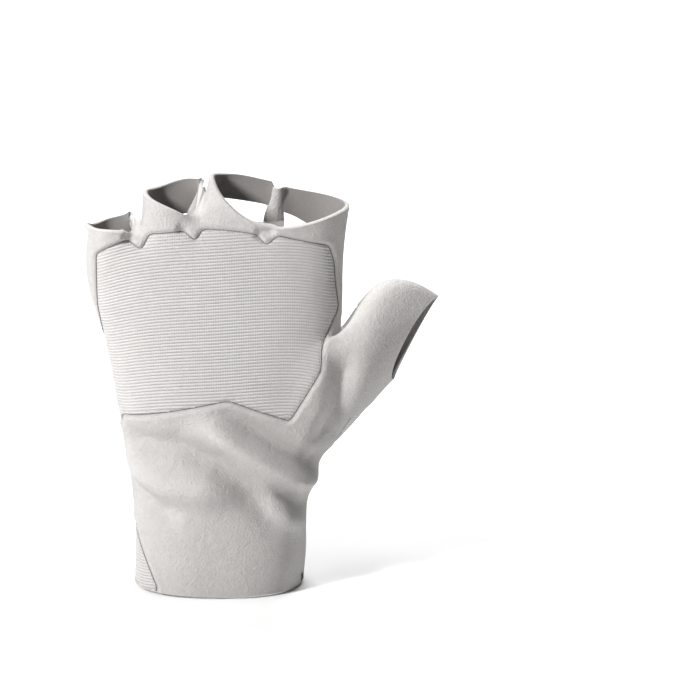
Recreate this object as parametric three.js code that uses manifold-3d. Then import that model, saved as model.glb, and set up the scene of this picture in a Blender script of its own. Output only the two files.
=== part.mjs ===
// Fingerless climbing glove for the left hand, standing as if worn.
// Millimetres, +Z towards the fingers, +X towards the thumb, -Y the back of the hand,
// and the origin at the middle of the wrist opening's lower edge.
import * as THREE from "three";
import { mergeVertices } from "three/addons/utils/BufferGeometryUtils.js";
import Module from "manifold-3d";

const wasm = await Module();
wasm.setup();

// Driving sizes
const gloveHeight = 155;
const gloveWidth = 95;
const gloveDepth = 44;
const outerThickness = 1.1;
const liningThickness = 1.0;
const layerGap = 0.35;
const seamGroove = 0.5;
const bindingWidth = 1.8;
const bindingProud = 0.5;
const hemSeamWidth = 1.8;
const hemSeamHeight = 0.9;
const patchProud = 0.6;
const strapThickness = 1.5;
const strapWidth = 17;
const strapHeight = 19.5;
const tackWidth = 1.3;
const tackHeight = 4;
const tackThickness = 0.6;
const stripWidth = 7.5;
const stripThickness = 1.1;
const edgeWrap = 3;
const tackInset = 1.6;
const facetTolerance = 0.07;

// Where each lengthwise line of the surface lies across the hand, from -1 at the little finger to 1
const acrossHand = [-1, -0.9, -0.75, -0.57, -0.42, -0.27, -0.115, 0.04, 0.24, 0.44, 0.64, 0.84, 1];
const lines = 2 * (acrossHand.length - 1);
const roundness = 2.3;

// Sections up the hand: height as a share of gloveHeight, sides of gloveWidth, back and palm of gloveDepth
const sections = [
  { up: 0.000, left: -0.345, right: 0.330, back: 0.50, palm: 0.46 },
  { up: 0.058, left: -0.345, right: 0.350, back: 0.51, palm: 0.47 },
  { up: 0.116, left: -0.340, right: 0.355, back: 0.51, palm: 0.47 },
  { up: 0.174, left: -0.342, right: 0.362, back: 0.50, palm: 0.46 },
  { up: 0.232, left: -0.350, right: 0.392, back: 0.49, palm: 0.45 },
  { up: 0.297, left: -0.362, right: 0.402, back: 0.48, palm: 0.44 },
  { up: 0.374, left: -0.385, right: 0.425, back: 0.46, palm: 0.42 },
  { up: 0.452, left: -0.412, right: 0.452, back: 0.43, palm: 0.40 },
  { up: 0.529, left: -0.430, right: 0.474, back: 0.40, palm: 0.38 },
  { up: 0.600, left: -0.450, right: 0.488, back: 0.38, palm: 0.37 },
  { up: 0.684, left: -0.480, right: 0.496, back: 0.36, palm: 0.35 },
  { up: 0.761, left: -0.512, right: 0.494, back: 0.34, palm: 0.33 },
  { up: 0.826, left: -0.512, right: 0.494, back: 0.32, palm: 0.31 },
];
const thumbHole = { lowRow: 5, highRow: 9, firstLine: 10, lastLine: 14 };

// Top of the hand, where the fingers part: one row for each lengthwise line
const fingerBase = {
  back: [
    { across: -0.520, through: 0.00, up: 0.855 },
    { across: -0.460, through: -0.22, up: 0.860 },
    { across: -0.385, through: -0.27, up: 0.864 },
    { across: -0.285, through: -0.23, up: 0.882 },
    { across: -0.230, through: -0.29, up: 0.890 },
    { across: -0.140, through: -0.31, up: 0.893 },
    { across: -0.055, through: -0.28, up: 0.928 },
    { across: 0.020, through: -0.31, up: 0.905 },
    { across: 0.110, through: -0.30, up: 0.884 },
    { across: 0.215, through: -0.29, up: 0.874 },
    { across: 0.335, through: -0.29, up: 0.876 },
    { across: 0.440, through: -0.24, up: 0.885 },
    { across: 0.500, through: 0.00, up: 0.885 },
  ],
  palm: [
    { across: -0.460, through: 0.20, up: 0.850 },
    { across: -0.380, through: 0.25, up: 0.850 },
    { across: -0.285, through: 0.22, up: 0.876 },
    { across: -0.230, through: 0.25, up: 0.900 },
    { across: -0.130, through: 0.27, up: 0.925 },
    { across: -0.038, through: 0.24, up: 0.952 },
    { across: 0.070, through: 0.27, up: 0.945 },
    { across: 0.180, through: 0.25, up: 0.925 },
    { across: 0.240, through: 0.20, up: 0.900 },
    { across: 0.310, through: 0.26, up: 0.905 },
    { across: 0.420, through: 0.22, up: 0.895 },
  ],
  crotches: [
    { line: 3, across: -0.286, through: 0.00, up: 0.886 },
    { line: 6, across: -0.046, through: 0.00, up: 0.943 },
  ],
};

// Rims of the finger loops, from the little finger's side round the back and home over the palm side
const fingerRims = [
  {
    first: 0, last: 3, rim: [
      { across: -0.530, through: 0.00, up: 0.884 },
      { across: -0.450, through: -0.26, up: 0.902 },
      { across: -0.375, through: -0.30, up: 0.900 },
      { across: -0.320, through: -0.25, up: 0.898 },
      { across: -0.312, through: 0.00, up: 0.899 },
      { across: -0.320, through: 0.25, up: 0.892 },
      { across: -0.380, through: 0.28, up: 0.886 },
      { across: -0.455, through: 0.24, up: 0.878 },
    ],
  },
  {
    first: 3, last: 6, rim: [
      { across: -0.275, through: -0.18, up: 0.970 },
      { across: -0.222, through: -0.28, up: 0.960 },
      { across: -0.150, through: -0.32, up: 0.943 },
      { across: -0.085, through: -0.26, up: 0.925 },
      { across: -0.058, through: 0.00, up: 0.955 },
      { across: -0.045, through: 0.24, up: 0.984 },
      { across: -0.095, through: 0.32, up: 0.977 },
      { across: -0.185, through: 0.30, up: 0.966 },
      { across: -0.262, through: 0.19, up: 0.964 },
      { across: -0.292, through: 0.00, up: 0.972 },
    ],
  },
  {
    first: 6, last: 12, rim: [
      { across: -0.015, through: -0.16, up: 1.004 },
      { across: 0.025, through: -0.26, up: 0.972 },
      { across: 0.085, through: -0.31, up: 0.935 },
      { across: 0.180, through: -0.32, up: 0.900 },
      { across: 0.310, through: -0.32, up: 0.901 },
      { across: 0.440, through: -0.25, up: 0.926 },
      { across: 0.525, through: 0.00, up: 0.950 },
      { across: 0.480, through: 0.23, up: 0.927 },
      { across: 0.310, through: 0.31, up: 0.962 },
      { across: 0.240, through: 0.20, up: 0.935 },
      { across: 0.195, through: 0.31, up: 0.975 },
      { across: 0.080, through: 0.33, up: 0.994 },
      { across: -0.010, through: 0.23, up: 1.000 },
      { across: -0.032, through: 0.02, up: 1.010 },
    ],
  },
];

// Rings of the thumb from the hand outwards: top and bottom of each, its middle and half depth,
// and how far its back falls short of its palm side
const thumbRings = [
  { topAcross: 0.540, topUp: 0.680, lowAcross: 0.475, lowUp: 0.340, middle: 0.02, depth: 0.37, short: 0 },
  { topAcross: 0.628, topUp: 0.755, lowAcross: 0.575, lowUp: 0.415, middle: 0.05, depth: 0.32, short: 0 },
  { topAcross: 0.765, topUp: 0.750, lowAcross: 0.645, lowUp: 0.465, middle: 0.07, depth: 0.23, short: 0.02 },
  { topAcross: 0.865, topUp: 0.706, lowAcross: 0.690, lowUp: 0.490, middle: 0.08, depth: 0.17, short: 0.06 },
];

// Creases pressed into the back: points as shares of width and height, lift as a share of depth
const creases = [
  { name: "cuff ridge", lift: 0.045, reach: 0.070,
    path: [[-0.36, 0.315], [-0.19, 0.275], [0.04, 0.250]] },
  { name: "cuff hollow", lift: -0.030, reach: 0.060,
    path: [[-0.36, 0.235], [-0.20, 0.200]] },
  { name: "long hollow", lift: -0.060, reach: 0.075,
    path: [[-0.36, 0.360], [-0.16, 0.365], [0.00, 0.325], [0.14, 0.245], [0.30, 0.145]] },
  { name: "main ridge", lift: 0.085, reach: 0.080,
    path: [[-0.05, 0.420], [0.11, 0.365], [0.23, 0.318], [0.39, 0.262]] },
  { name: "thumb-side hollow", lift: -0.060, reach: 0.060,
    path: [[0.22, 0.260], [0.29, 0.225], [0.36, 0.180]] },
];

// Outline of the ribbed rubber on the back, as shares of width and height
const ribbedBack = [
  [-0.463, 0.828], [-0.400, 0.853], [-0.343, 0.869], [-0.286, 0.845], [-0.253, 0.885],
  [-0.121, 0.894], [-0.078, 0.870], [-0.046, 0.899], [0.055, 0.896], [0.152, 0.887],
  [0.197, 0.858], [0.241, 0.883], [0.436, 0.852], [0.456, 0.805], [0.460, 0.756],
  [0.474, 0.688], [0.409, 0.609], [0.405, 0.548], [0.296, 0.440], [0.280, 0.431],
  [0.046, 0.484], [-0.366, 0.432], [-0.378, 0.402], [-0.700, 0.402], [-0.700, 0.585],
  [-0.432, 0.590], [-0.461, 0.697],
];
const ribbedWedge = [
  [-0.700, 0.150], [-0.330, 0.150], [-0.305, 0.110], [-0.240, 0.015], [-0.240, -0.100], [-0.700, -0.100],
];
const ribbedHeel = [
  [-0.700, 0.585], [0.260, 0.585], [0.260, 0.209], [-0.280, 0.209], [-0.300, -0.100], [-0.700, -0.100],
];

// Edge of the open palm, from the index finger's band round to the cuff's bottom and up the thumb side
const palmOpening = [
  [0.700, 0.825], [0.410, 0.826], [0.390, 0.868], [0.300, 0.892], [0.190, 0.920], [0.020, 0.936],
  [-0.050, 0.915], [-0.100, 0.899], [-0.200, 0.885], [-0.290, 0.850], [-0.354, 0.800], [-0.453, 0.751],
  [-0.700, 0.690],
  [-0.700, 0.540], [-0.455, 0.536], [-0.400, 0.487], [-0.349, 0.436], [-0.294, 0.399],
  [-0.126, 0.332], [0.164, 0.232], [0.215, 0.190], [0.222, 0.130], [0.195, 0.073],
  [0.090, 0.041], [-0.013, 0.012], [-0.185, -0.010], [-0.200, -0.100], [0.300, -0.100], [0.318, 0.100],
  [0.332, 0.200], [0.372, 0.290], [0.515, 0.400], [0.548, 0.470], [0.520, 0.545],
  [0.505, 0.610], [0.515, 0.700], [0.560, 0.825],
];
const bindingRun = { from: 13, to: 25 };

// The thumb's ribbed rubber on the palm side, its seam against the suede, and its corner on the back
const ribbedThumb = [
  [0.480, 0.530], [0.550, 0.590], [0.625, 0.640], [0.705, 0.665], [0.830, 0.665], [0.960, 0.600],
  [0.860, 0.300], [0.380, 0.280], [0.380, 0.500],
];
const ribbedThumbBack = [[0.430, 0.310], [0.475, 0.370], [0.522, 0.420], [0.605, 0.440], [0.700, 0.300]];
const hemRun = { from: 0, to: 4 };

// Depth of the thumb's own edge, and how far pieces on the back run past an edge, to join at it
const thumbEdge = 0.06;
const overlapAtEdge = 1.5;

// Black loop patch below the ribbed heel, and the strap that closes over it
const patchOutline = [[-0.280, 0.209], [0.260, 0.209], [0.260, -0.100], [-0.300, -0.100]];
const strapStart = 0.17;
const strapOutline = [
  { across: 0.700, up: 0.50 }, { across: 0.040, up: 0.50 }, { across: -0.033, up: -0.10 },
  { across: 0.002, up: -0.45 }, { across: 0.300, up: -0.52 }, { across: 0.700, up: -0.50 },
];

// Finger strips from the palm side's notch to the inner face of the back.
// Each hangs from its top, meets the back at its landing and ends at its foot.
const strips = [
  { name: "finger_strip_1", topAcross: -0.288, topUp: 0.848, topThrough: 0.13,
    footAcross: -0.238, landUp: 0.775, footUp: 0.632 },
  { name: "finger_strip_2", topAcross: -0.042, topUp: 0.895, topThrough: 0.14,
    footAcross: -0.015, landUp: 0.820, footUp: 0.668 },
  { name: "finger_strip_3", topAcross: 0.236, topUp: 0.914, topThrough: 0.155,
    footAcross: 0.185, landUp: 0.835, footUp: 0.668 },
];

const colours = {
  suede: { color: 0xd6d1cd, roughness: 0.9, metalness: 0 },
  ribbed: { color: 0xccc7c3, roughness: 0.7, metalness: 0 },
  lining: { color: 0x8a8784, roughness: 0.95, metalness: 0 },
  binding: { color: 0xb4afab, roughness: 0.85, metalness: 0 },
  strap: { color: 0x161616, roughness: 0.8, metalness: 0 },
  patch: { color: 0x101010, roughness: 1, metalness: 0 },
  tack: { color: 0x3c3a39, roughness: 0.9, metalness: 0 },
};

// A point of the surface is x, y, z and then its side, from -1 on the back to 1 on the palm
const atShares = ({ across, through, up }, side) => [
  across * gloveWidth,
  through * gloveDepth,
  up * gloveHeight,
  side,
];

function sideOfLine(line) {
  return -Math.sin((2 * Math.PI * line) / lines);
}

function sectionPoint(section, line) {
  const onBack = line <= lines / 2;
  const share = acrossHand[onBack ? line : lines - line];
  const middle = (section.left + section.right) / 2;
  const half = (section.right - section.left) / 2;
  const bulge = (1 - Math.abs(share) ** roundness) ** (1 / roundness);
  const through = onBack ? -section.back * bulge : section.palm * bulge;
  return atShares({ across: middle + half * share, through, up: section.up }, sideOfLine(line));
}

// Coarse cage of four-sided faces: hand, thumb and finger loops in one open sheet
function buildCage() {
  const points = [];
  const faces = [];
  const add = (point) => points.push(point) - 1;
  const wall = (base, rim, closed) => {
    const count = closed ? base.length : base.length - 1;
    for (let i = 0; i < count; i++) {
      const next = (i + 1) % base.length;
      faces.push([base[i], base[next], rim[next], rim[i]]);
    }
  };

  const { lowRow, highRow, firstLine, lastLine } = thumbHole;
  const insideHole = (row, line) =>
    row > lowRow && row < highRow && line > firstLine && line < lastLine;
  const grid = sections.map((section, row) =>
    Array.from({ length: lines }, (_, line) =>
      insideHole(row, line) ? -1 : add(sectionPoint(section, line)),
    ),
  );
  const palmSide = [...fingerBase.palm].reverse();
  const topRow = [
    ...fingerBase.back.map((share, line) => add(atShares(share, sideOfLine(line)))),
    ...palmSide.map((share, i) => add(atShares(share, sideOfLine(i + fingerBase.back.length)))),
  ];
  grid.push(topRow);

  for (let row = 0; row + 1 < grid.length; row++) {
    for (let line = 0; line < lines; line++) {
      const next = (line + 1) % lines;
      const inHoleRows = row >= lowRow && row < highRow;
      if (inHoleRows && line >= firstLine && line < lastLine) continue;
      faces.push([grid[row][line], grid[row][next], grid[row + 1][next], grid[row + 1][line]]);
    }
  }

  const crotch = new Map(fingerBase.crotches.map((share) => [share.line, add(atShares(share, 0))]));
  for (const { first, last, rim } of fingerRims) {
    const base = topRow.slice(first, last + 1);
    if (crotch.has(last)) base.push(crotch.get(last));
    for (let line = last; line >= first; line--) {
      const onPalm = (lines - line) % lines;
      if (line !== 0 && line !== lines / 2) base.push(topRow[onPalm]);
    }
    if (crotch.has(first)) base.push(crotch.get(first));
    const rimSide = (share) => THREE.MathUtils.clamp(share.through / 0.27, -1, 1);
    wall(base, rim.map((share) => add(atShares(share, rimSide(share)))), true);
  }

  const hole = [];
  for (let line = firstLine; line < lastLine; line++) hole.push(grid[lowRow][line]);
  for (let row = lowRow; row < highRow; row++) hole.push(grid[row][lastLine]);
  for (let line = lastLine; line > firstLine; line--) hole.push(grid[highRow][line]);
  for (let row = highRow; row > lowRow; row--) hole.push(grid[row][firstLine]);
  let inner = hole;
  for (const ring of thumbRings) {
    const outer = hole.map((_, i) => {
      const turn = (5 / 4 - (2 * i) / hole.length) * Math.PI;
      const towardsTop = (1 + Math.cos(turn)) / 2;
      const short = ring.short * Math.max(-Math.sin(turn), 0);
      return add(atShares({
        across: THREE.MathUtils.lerp(ring.lowAcross, ring.topAcross, towardsTop) - short,
        through: ring.middle + ring.depth * Math.sin(turn),
        up: THREE.MathUtils.lerp(ring.lowUp, ring.topUp, towardsTop) + short / 4,
      }, Math.sin(turn)));
    });
    wall(inner, outer, true);
    inner = outer;
  }
  return { points, faces };
}

const mixed = (list) =>
  list[0].map((_, axis) => list.reduce((sum, point) => sum + point[axis], 0) / list.length);

// One round of Catmull-Clark smoothing, with free edges smoothed along themselves
function smooth({ points, faces }) {
  const key = (a, b) => (a < b ? `${a},${b}` : `${b},${a}`);
  const edges = new Map();
  const around = points.map(() => ({ faces: [], edges: [] }));
  faces.forEach((face, f) => {
    face.forEach((a, i) => {
      const b = face[(i + 1) % face.length];
      const id = key(a, b);
      if (!edges.has(id)) {
        edges.set(id, { ends: [a, b], faces: [] });
        around[a].edges.push(id);
        around[b].edges.push(id);
      }
      edges.get(id).faces.push(f);
      around[a].faces.push(f);
    });
  });
  const facePoints = faces.map((face) => mixed(face.map((p) => points[p])));
  const made = [];
  const edgeIndex = new Map();
  const isFree = (edge) => edge.faces.length === 1;
  const moved = points.map((point, p) => {
    const free = around[p].edges.map((id) => edges.get(id)).filter(isFree);
    const others = (list) => list.map(({ ends }) => points[ends[0] === p ? ends[1] : ends[0]]);
    if (free.length === 2) {
      const [a, b] = others(free);
      return point.map((value, axis) => 0.75 * value + 0.125 * (a[axis] + b[axis]));
    }
    const count = around[p].faces.length;
    const faceMean = mixed(around[p].faces.map((f) => facePoints[f]));
    const neighbours = others(around[p].edges.map((id) => edges.get(id)));
    const edgeMean = mixed(neighbours.map((other) => mixed([point, other])));
    return point.map((value, axis) =>
      (faceMean[axis] + 2 * edgeMean[axis] + (count - 3) * value) / count);
  });
  made.push(...moved);
  const faceStart = made.length;
  made.push(...facePoints);
  for (const [id, edge] of edges) {
    const ends = edge.ends.map((p) => points[p]);
    edgeIndex.set(id, made.length);
    const beside = isFree(edge) ? [] : edge.faces.map((f) => facePoints[f]);
    made.push(mixed([...ends, ...beside]));
  }
  const split = [];
  faces.forEach((face, f) => {
    face.forEach((corner, i) => {
      const before = face[(i + face.length - 1) % face.length];
      const after = face[(i + 1) % face.length];
      const onwards = edgeIndex.get(key(corner, after));
      const backwards = edgeIndex.get(key(before, corner));
      split.push([corner, onwards, faceStart + f, backwards]);
    });
  });
  return { points: made, faces: split };
}

// Nearest distance from a point to a path in the flat of the hand, x and z
function distanceToPath(x, z, path) {
  let nearest = Infinity;
  for (let i = 0; i + 1 < path.length; i++) {
    const [ax, az] = path[i];
    const [bx, bz] = path[i + 1];
    const lengthSquared = (bx - ax) ** 2 + (bz - az) ** 2;
    const along = ((x - ax) * (bx - ax) + (z - az) * (bz - az)) / lengthSquared;
    const t = THREE.MathUtils.clamp(along, 0, 1);
    nearest = Math.min(nearest, Math.hypot(x - ax - t * (bx - ax), z - az - t * (bz - az)));
  }
  return nearest;
}

const scaled = (outline) => outline.map(([across, up]) => [across * gloveWidth, up * gloveHeight]);

function creaseLift([x, , z, side]) {
  const onBack = THREE.MathUtils.smoothstep(-side, 0, 0.5);
  return creases.reduce((sum, { lift, reach, path }) => {
    const away = distanceToPath(x, z, scaled(path)) / (reach * gloveWidth);
    return sum + lift * gloveDepth * Math.exp(-away * away) * onBack;
  }, 0);
}

// Normals at the points of a surface, each pointing away from the hand
function addNormals(points, triangles) {
  const sums = points.map(() => new THREE.Vector3());
  const at = (p) => new THREE.Vector3(points[p][0], points[p][1], points[p][2]);
  for (const [a, b, c] of triangles) {
    const normal = at(b).sub(at(a)).cross(at(c).sub(at(a)));
    for (const p of [a, b, c]) sums[p].add(normal);
  }
  return points.map((point, p) => [...point, ...sums[p].normalize().toArray()]);
}

function buildSurface() {
  const { points, faces } = smooth(buildCage());
  const triangles = faces.flatMap(([a, b, c, d]) => [[a, b, c], [a, c, d]]);
  const creased = addNormals(points, triangles).map((point) => {
    const [x, y, z, side, nx, ny, nz] = point;
    const lift = creaseLift(point);
    return [x + nx * lift, y + ny * lift, z + nz * lift, side];
  });
  return { points: addNormals(creased, triangles), triangles };
}

// An outline moved outwards by a distance, its corners kept sharp
function grown(outline, distance) {
  const area = outline.reduce((sum, [ax, az], i) => {
    const [bx, bz] = outline[(i + 1) % outline.length];
    return sum + (ax * bz - bx * az) / 2;
  }, 0);
  const outwards = distance * Math.sign(area);
  const normal = ([ax, az], [bx, bz]) => {
    const length = Math.hypot(bx - ax, bz - az);
    return [(bz - az) / length, (ax - bx) / length];
  };
  return outline.map((point, i) => {
    const before = normal(outline[(i + outline.length - 1) % outline.length], point);
    const after = normal(point, outline[(i + 1) % outline.length]);
    const spread = Math.max(1 + before[0] * after[0] + before[1] * after[1], 0.2);
    return [0, 1].map((axis) => point[axis] + (outwards * (before[axis] + after[axis])) / spread);
  });
}

// A band along part of an outline, between two distances from it
function bandAlong(outline, { from, to }, near, far) {
  const edge = (distance) => grown(outline, distance).slice(from, to + 1);
  return [...edge(near), ...edge(far).reverse()];
}

function toManifold(geometry) {
  const bare = new THREE.BufferGeometry().setAttribute("position", geometry.getAttribute("position"));
  if (geometry.index) bare.setIndex(geometry.index);
  const merged = mergeVertices(bare, 1e-4);
  return new wasm.Manifold(new wasm.Mesh({
    numProp: 3,
    vertProperties: merged.attributes.position.array,
    triVerts: new Uint32Array(merged.index.array),
  }));
}

function toGeometry(solid) {
  const { vertProperties, triVerts } = solid.simplify(facetTolerance).getMesh();
  return new THREE.BufferGeometry()
    .setAttribute("position", new THREE.BufferAttribute(vertProperties, 3))
    .setIndex(new THREE.BufferAttribute(triVerts, 1));
}

// The whole glove's sheet as a closed wall between two heights above its outer face
function wallBetween({ points, triangles }, high, low) {
  const positions = [];
  const place = (p, height) => {
    const [x, y, z, , nx, ny, nz] = points[p];
    positions.push(x + nx * height, y + ny * height, z + nz * height);
  };
  const rims = new Map();
  for (const [a, b, c] of triangles) {
    for (const p of [a, b, c]) place(p, high);
    for (const p of [a, c, b]) place(p, low);
    for (const [from, to] of [[a, b], [b, c], [c, a]]) {
      if (!rims.delete(`${to},${from}`)) rims.set(`${from},${to}`, [from, to]);
    }
  }
  for (const [from, to] of rims.values()) {
    for (const [p, height] of [[to, high], [from, high], [from, low]]) place(p, height);
    for (const [p, height] of [[to, high], [from, low], [to, low]]) place(p, height);
  }
  const geometry = new THREE.BufferGeometry();
  geometry.setAttribute("position", new THREE.Float32BufferAttribute(positions, 3));
  return toManifold(geometry);
}

// An outline in the flat of the hand run through from one depth to another
function prism(outline, fromY, toY) {
  const shape = new THREE.Shape(outline.map(([x, z]) => new THREE.Vector2(x, z)));
  const geometry = new THREE.ExtrudeGeometry(shape, { depth: toY - fromY, bevelEnabled: false });
  return toManifold(geometry.rotateX(Math.PI / 2).translate(0, toY, 0));
}

// Prisms of the places that pieces are inlaid in, each on the back (-1) or the palm side (1)
const farAway = gloveDepth;
function inlayPrism(regions, grow) {
  const prisms = regions.map(({ outline, onSide, edge, past }) => {
    const limit = edge * gloveDepth - onSide * (past + grow);
    const edged = grown(scaled(outline), grow);
    return onSide > 0 ? prism(edged, limit, farAway) : prism(edged, -farAway, limit);
  });
  return prisms.reduce((joined, part) => joined.add(part));
}

// A flat strip swept along a path that bends only in the upright plane
function stripSolid(path, width, thickness) {
  const rings = path.map((point, i) => {
    const before = path[Math.max(i - 1, 0)];
    const after = path[Math.min(i + 1, path.length - 1)];
    const along = after.clone().sub(before);
    const normal = new THREE.Vector3(0, -along.z, along.y).normalize().multiplyScalar(thickness / 2);
    const sideways = new THREE.Vector3(width / 2, 0, 0);
    return [[-1, 1], [1, 1], [1, -1], [-1, -1]].map(([across, out]) =>
      point.clone().addScaledVector(sideways, across).addScaledVector(normal, out));
  });
  const positions = [];
  const quad = (a, b, c, d) => [a, b, c, a, c, d].forEach((corner) => positions.push(...corner.toArray()));
  quad(...rings[0].toReversed());
  quad(...rings.at(-1));
  for (let i = 0; i + 1 < rings.length; i++) {
    for (let k = 0; k < 4; k++) {
      const next = (k + 1) % 4;
      quad(rings[i][k], rings[i][next], rings[i + 1][next], rings[i + 1][k]);
    }
  }
  return new THREE.BufferGeometry().setAttribute("position", new THREE.Float32BufferAttribute(positions, 3));
}

const surface = buildSurface();
const glove = new THREE.Group();

function addPiece(name, geometry, colour) {
  geometry.computeVertexNormals();
  const mesh = new THREE.Mesh(geometry, new THREE.MeshStandardMaterial(colours[colour]));
  mesh.name = name;
  glove.add(mesh);
}

// Heights of the layers, from the outer face inwards
const outerFloor = -outerThickness;
const liningTop = outerFloor - layerGap;
const liningFloor = liningTop - liningThickness;
const halfGroove = seamGroove / 2;

const outerWall = wallBetween(surface, 0, outerFloor);
const liningWall = wallBetween(surface, liningTop, liningFloor);
const palmOutline = scaled(palmOpening);
const openPalm = prism(palmOutline, edgeWrap, farAway);
addPiece("lining", toGeometry(liningWall.subtract(openPalm)), "lining");

// Inlaid pieces, and the suede where none of them lies
const handRibs = [
  { outline: ribbedBack, onSide: -1, edge: 0, past: overlapAtEdge },
  { outline: ribbedWedge, onSide: -1, edge: 0, past: overlapAtEdge },
  { outline: ribbedHeel, onSide: 1, edge: 0, past: 0 },
];
const thumbRibs = [
  { outline: ribbedThumb, onSide: 1, edge: thumbEdge, past: 0 },
  { outline: ribbedThumbBack, onSide: -1, edge: thumbEdge, past: overlapAtEdge },
];
const patchPlace = [{ outline: patchOutline, onSide: 1, edge: 0, past: 0 }];
const patchWall = wallBetween(surface, patchProud, outerFloor);
const inlays = [
  { name: "ribbed_panel", regions: handRibs, wall: outerWall, colour: "ribbed" },
  { name: "thumb_rib_panel", regions: thumbRibs, wall: outerWall, colour: "ribbed" },
  { name: "loop_patch", regions: patchPlace, wall: patchWall, colour: "patch" },
];
const suedeWall = inlays.reduce(
  (wall, { regions }) => wall.subtract(inlayPrism(regions, halfGroove)),
  outerWall.subtract(openPalm),
);
addPiece("suede_shell", toGeometry(suedeWall), "suede");
for (const { name, regions, wall, colour } of inlays) {
  addPiece(name, toGeometry(wall.intersect(inlayPrism(regions, -halfGroove)).subtract(openPalm)), colour);
}

// Pieces that follow the surface: each lies inside its outline and between two heights
const bindingOutline = bandAlong(palmOutline, bindingRun, -layerGap, -layerGap - bindingWidth);
const hemLine = scaled(ribbedThumb).slice(hemRun.from, hemRun.to + 1);
const hemEdge = (lift) => hemLine.map(([x, z]) => [x, z + (lift * hemSeamWidth) / 2]);
const hemOutline = [...hemEdge(1), ...hemEdge(-1).reverse()];
const strapAt = strapOutline.map(({ across, up }) => [across * gloveWidth, strapHeight + up * strapWidth]);
const tackRight = sections[0].right * gloveWidth - tackInset;
const tackLow = tackInset / 2;
const tackOutline = [
  [tackRight, tackLow], [tackRight, tackLow + tackHeight],
  [tackRight - tackWidth, tackLow + tackHeight], [tackRight - tackWidth, tackLow],
];
const strapFloor = patchProud + layerGap;
const laid = [
  { name: "palm_binding", outline: bindingOutline, from: edgeWrap + layerGap, to: farAway,
    high: bindingProud, low: liningFloor, colour: "binding" },
  { name: "thumb_hem_seam", outline: hemOutline, from: thumbEdge * gloveDepth + layerGap, to: farAway,
    high: layerGap + hemSeamHeight, low: layerGap, colour: "suede" },
  { name: "wrist_strap", outline: strapAt, from: strapStart * gloveDepth, to: farAway,
    high: strapFloor + strapThickness, low: strapFloor, colour: "strap" },
  { name: "cuff_bartack", outline: tackOutline, from: -farAway, to: -layerGap,
    high: layerGap + tackThickness, low: layerGap, colour: "tack" },
];
for (const { name, outline, from, to, high, low, colour } of laid) {
  addPiece(name, toGeometry(wallBetween(surface, high, low).intersect(prism(outline, from, to))), colour);
}

// The inner face of the lining on the back, at a place in the flat of the hand
const backSide = 0.3;
const innerFace = surface.points.map(([x, y, z, side, nx, ny, nz]) =>
  [x + nx * liningFloor, y + ny * liningFloor, z + nz * liningFloor, side]);
function innerBackAt(x, z) {
  for (const [a, b, c] of surface.triangles) {
    const [p, q, r] = [innerFace[a], innerFace[b], innerFace[c]];
    const area = (q[0] - p[0]) * (r[2] - p[2]) - (r[0] - p[0]) * (q[2] - p[2]);
    const u = ((x - p[0]) * (r[2] - p[2]) - (r[0] - p[0]) * (z - p[2])) / area;
    const v = ((q[0] - p[0]) * (z - p[2]) - (x - p[0]) * (q[2] - p[2])) / area;
    if (p[3] < -backSide && u >= 0 && v >= 0 && u + v <= 1) {
      return p[1] + u * (q[1] - p[1]) + v * (r[1] - p[1]);
    }
  }
  throw new Error(`no back at ${x}, ${z}`);
}

// A finger strip hangs from its top, meets the back at its landing and lies along it to its foot
function stripPath({ topAcross, topUp, topThrough, footAcross, landUp, footUp }) {
  const clear = layerGap + stripThickness / 2;
  const between = (low, high, share) => THREE.MathUtils.lerp(low, high, share);
  const heights = [
    ...[1, 0.5].map((share) => between(landUp, topUp, share)),
    ...[1, 2 / 3, 1 / 3, 0].map((share) => between(footUp, landUp, share)),
  ];
  return heights.map((up) => {
    const fall = (topUp - up) / (topUp - footUp);
    const x = between(topAcross, footAcross, fall) * gloveWidth;
    const restZ = Math.min(up, landUp) * gloveHeight;
    const backs = [-0.5, 0, 0.5].map((share) => innerBackAt(x + share * stripWidth, restZ));
    const rest = Math.max(...backs) + clear;
    const hanging = Math.max((up - landUp) / (topUp - landUp), 0);
    const y = between(rest, topThrough * gloveDepth, hanging);
    return new THREE.Vector3(x, y, up * gloveHeight);
  });
}

for (const strip of strips) {
  addPiece(strip.name, stripSolid(stripPath(strip), stripWidth, stripThickness), "lining");
}

export default glove;
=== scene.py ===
import math
import random

import bmesh
import bpy
import numpy as np
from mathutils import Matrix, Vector, noise
from mathutils.bvhtree import BVHTree


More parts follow.
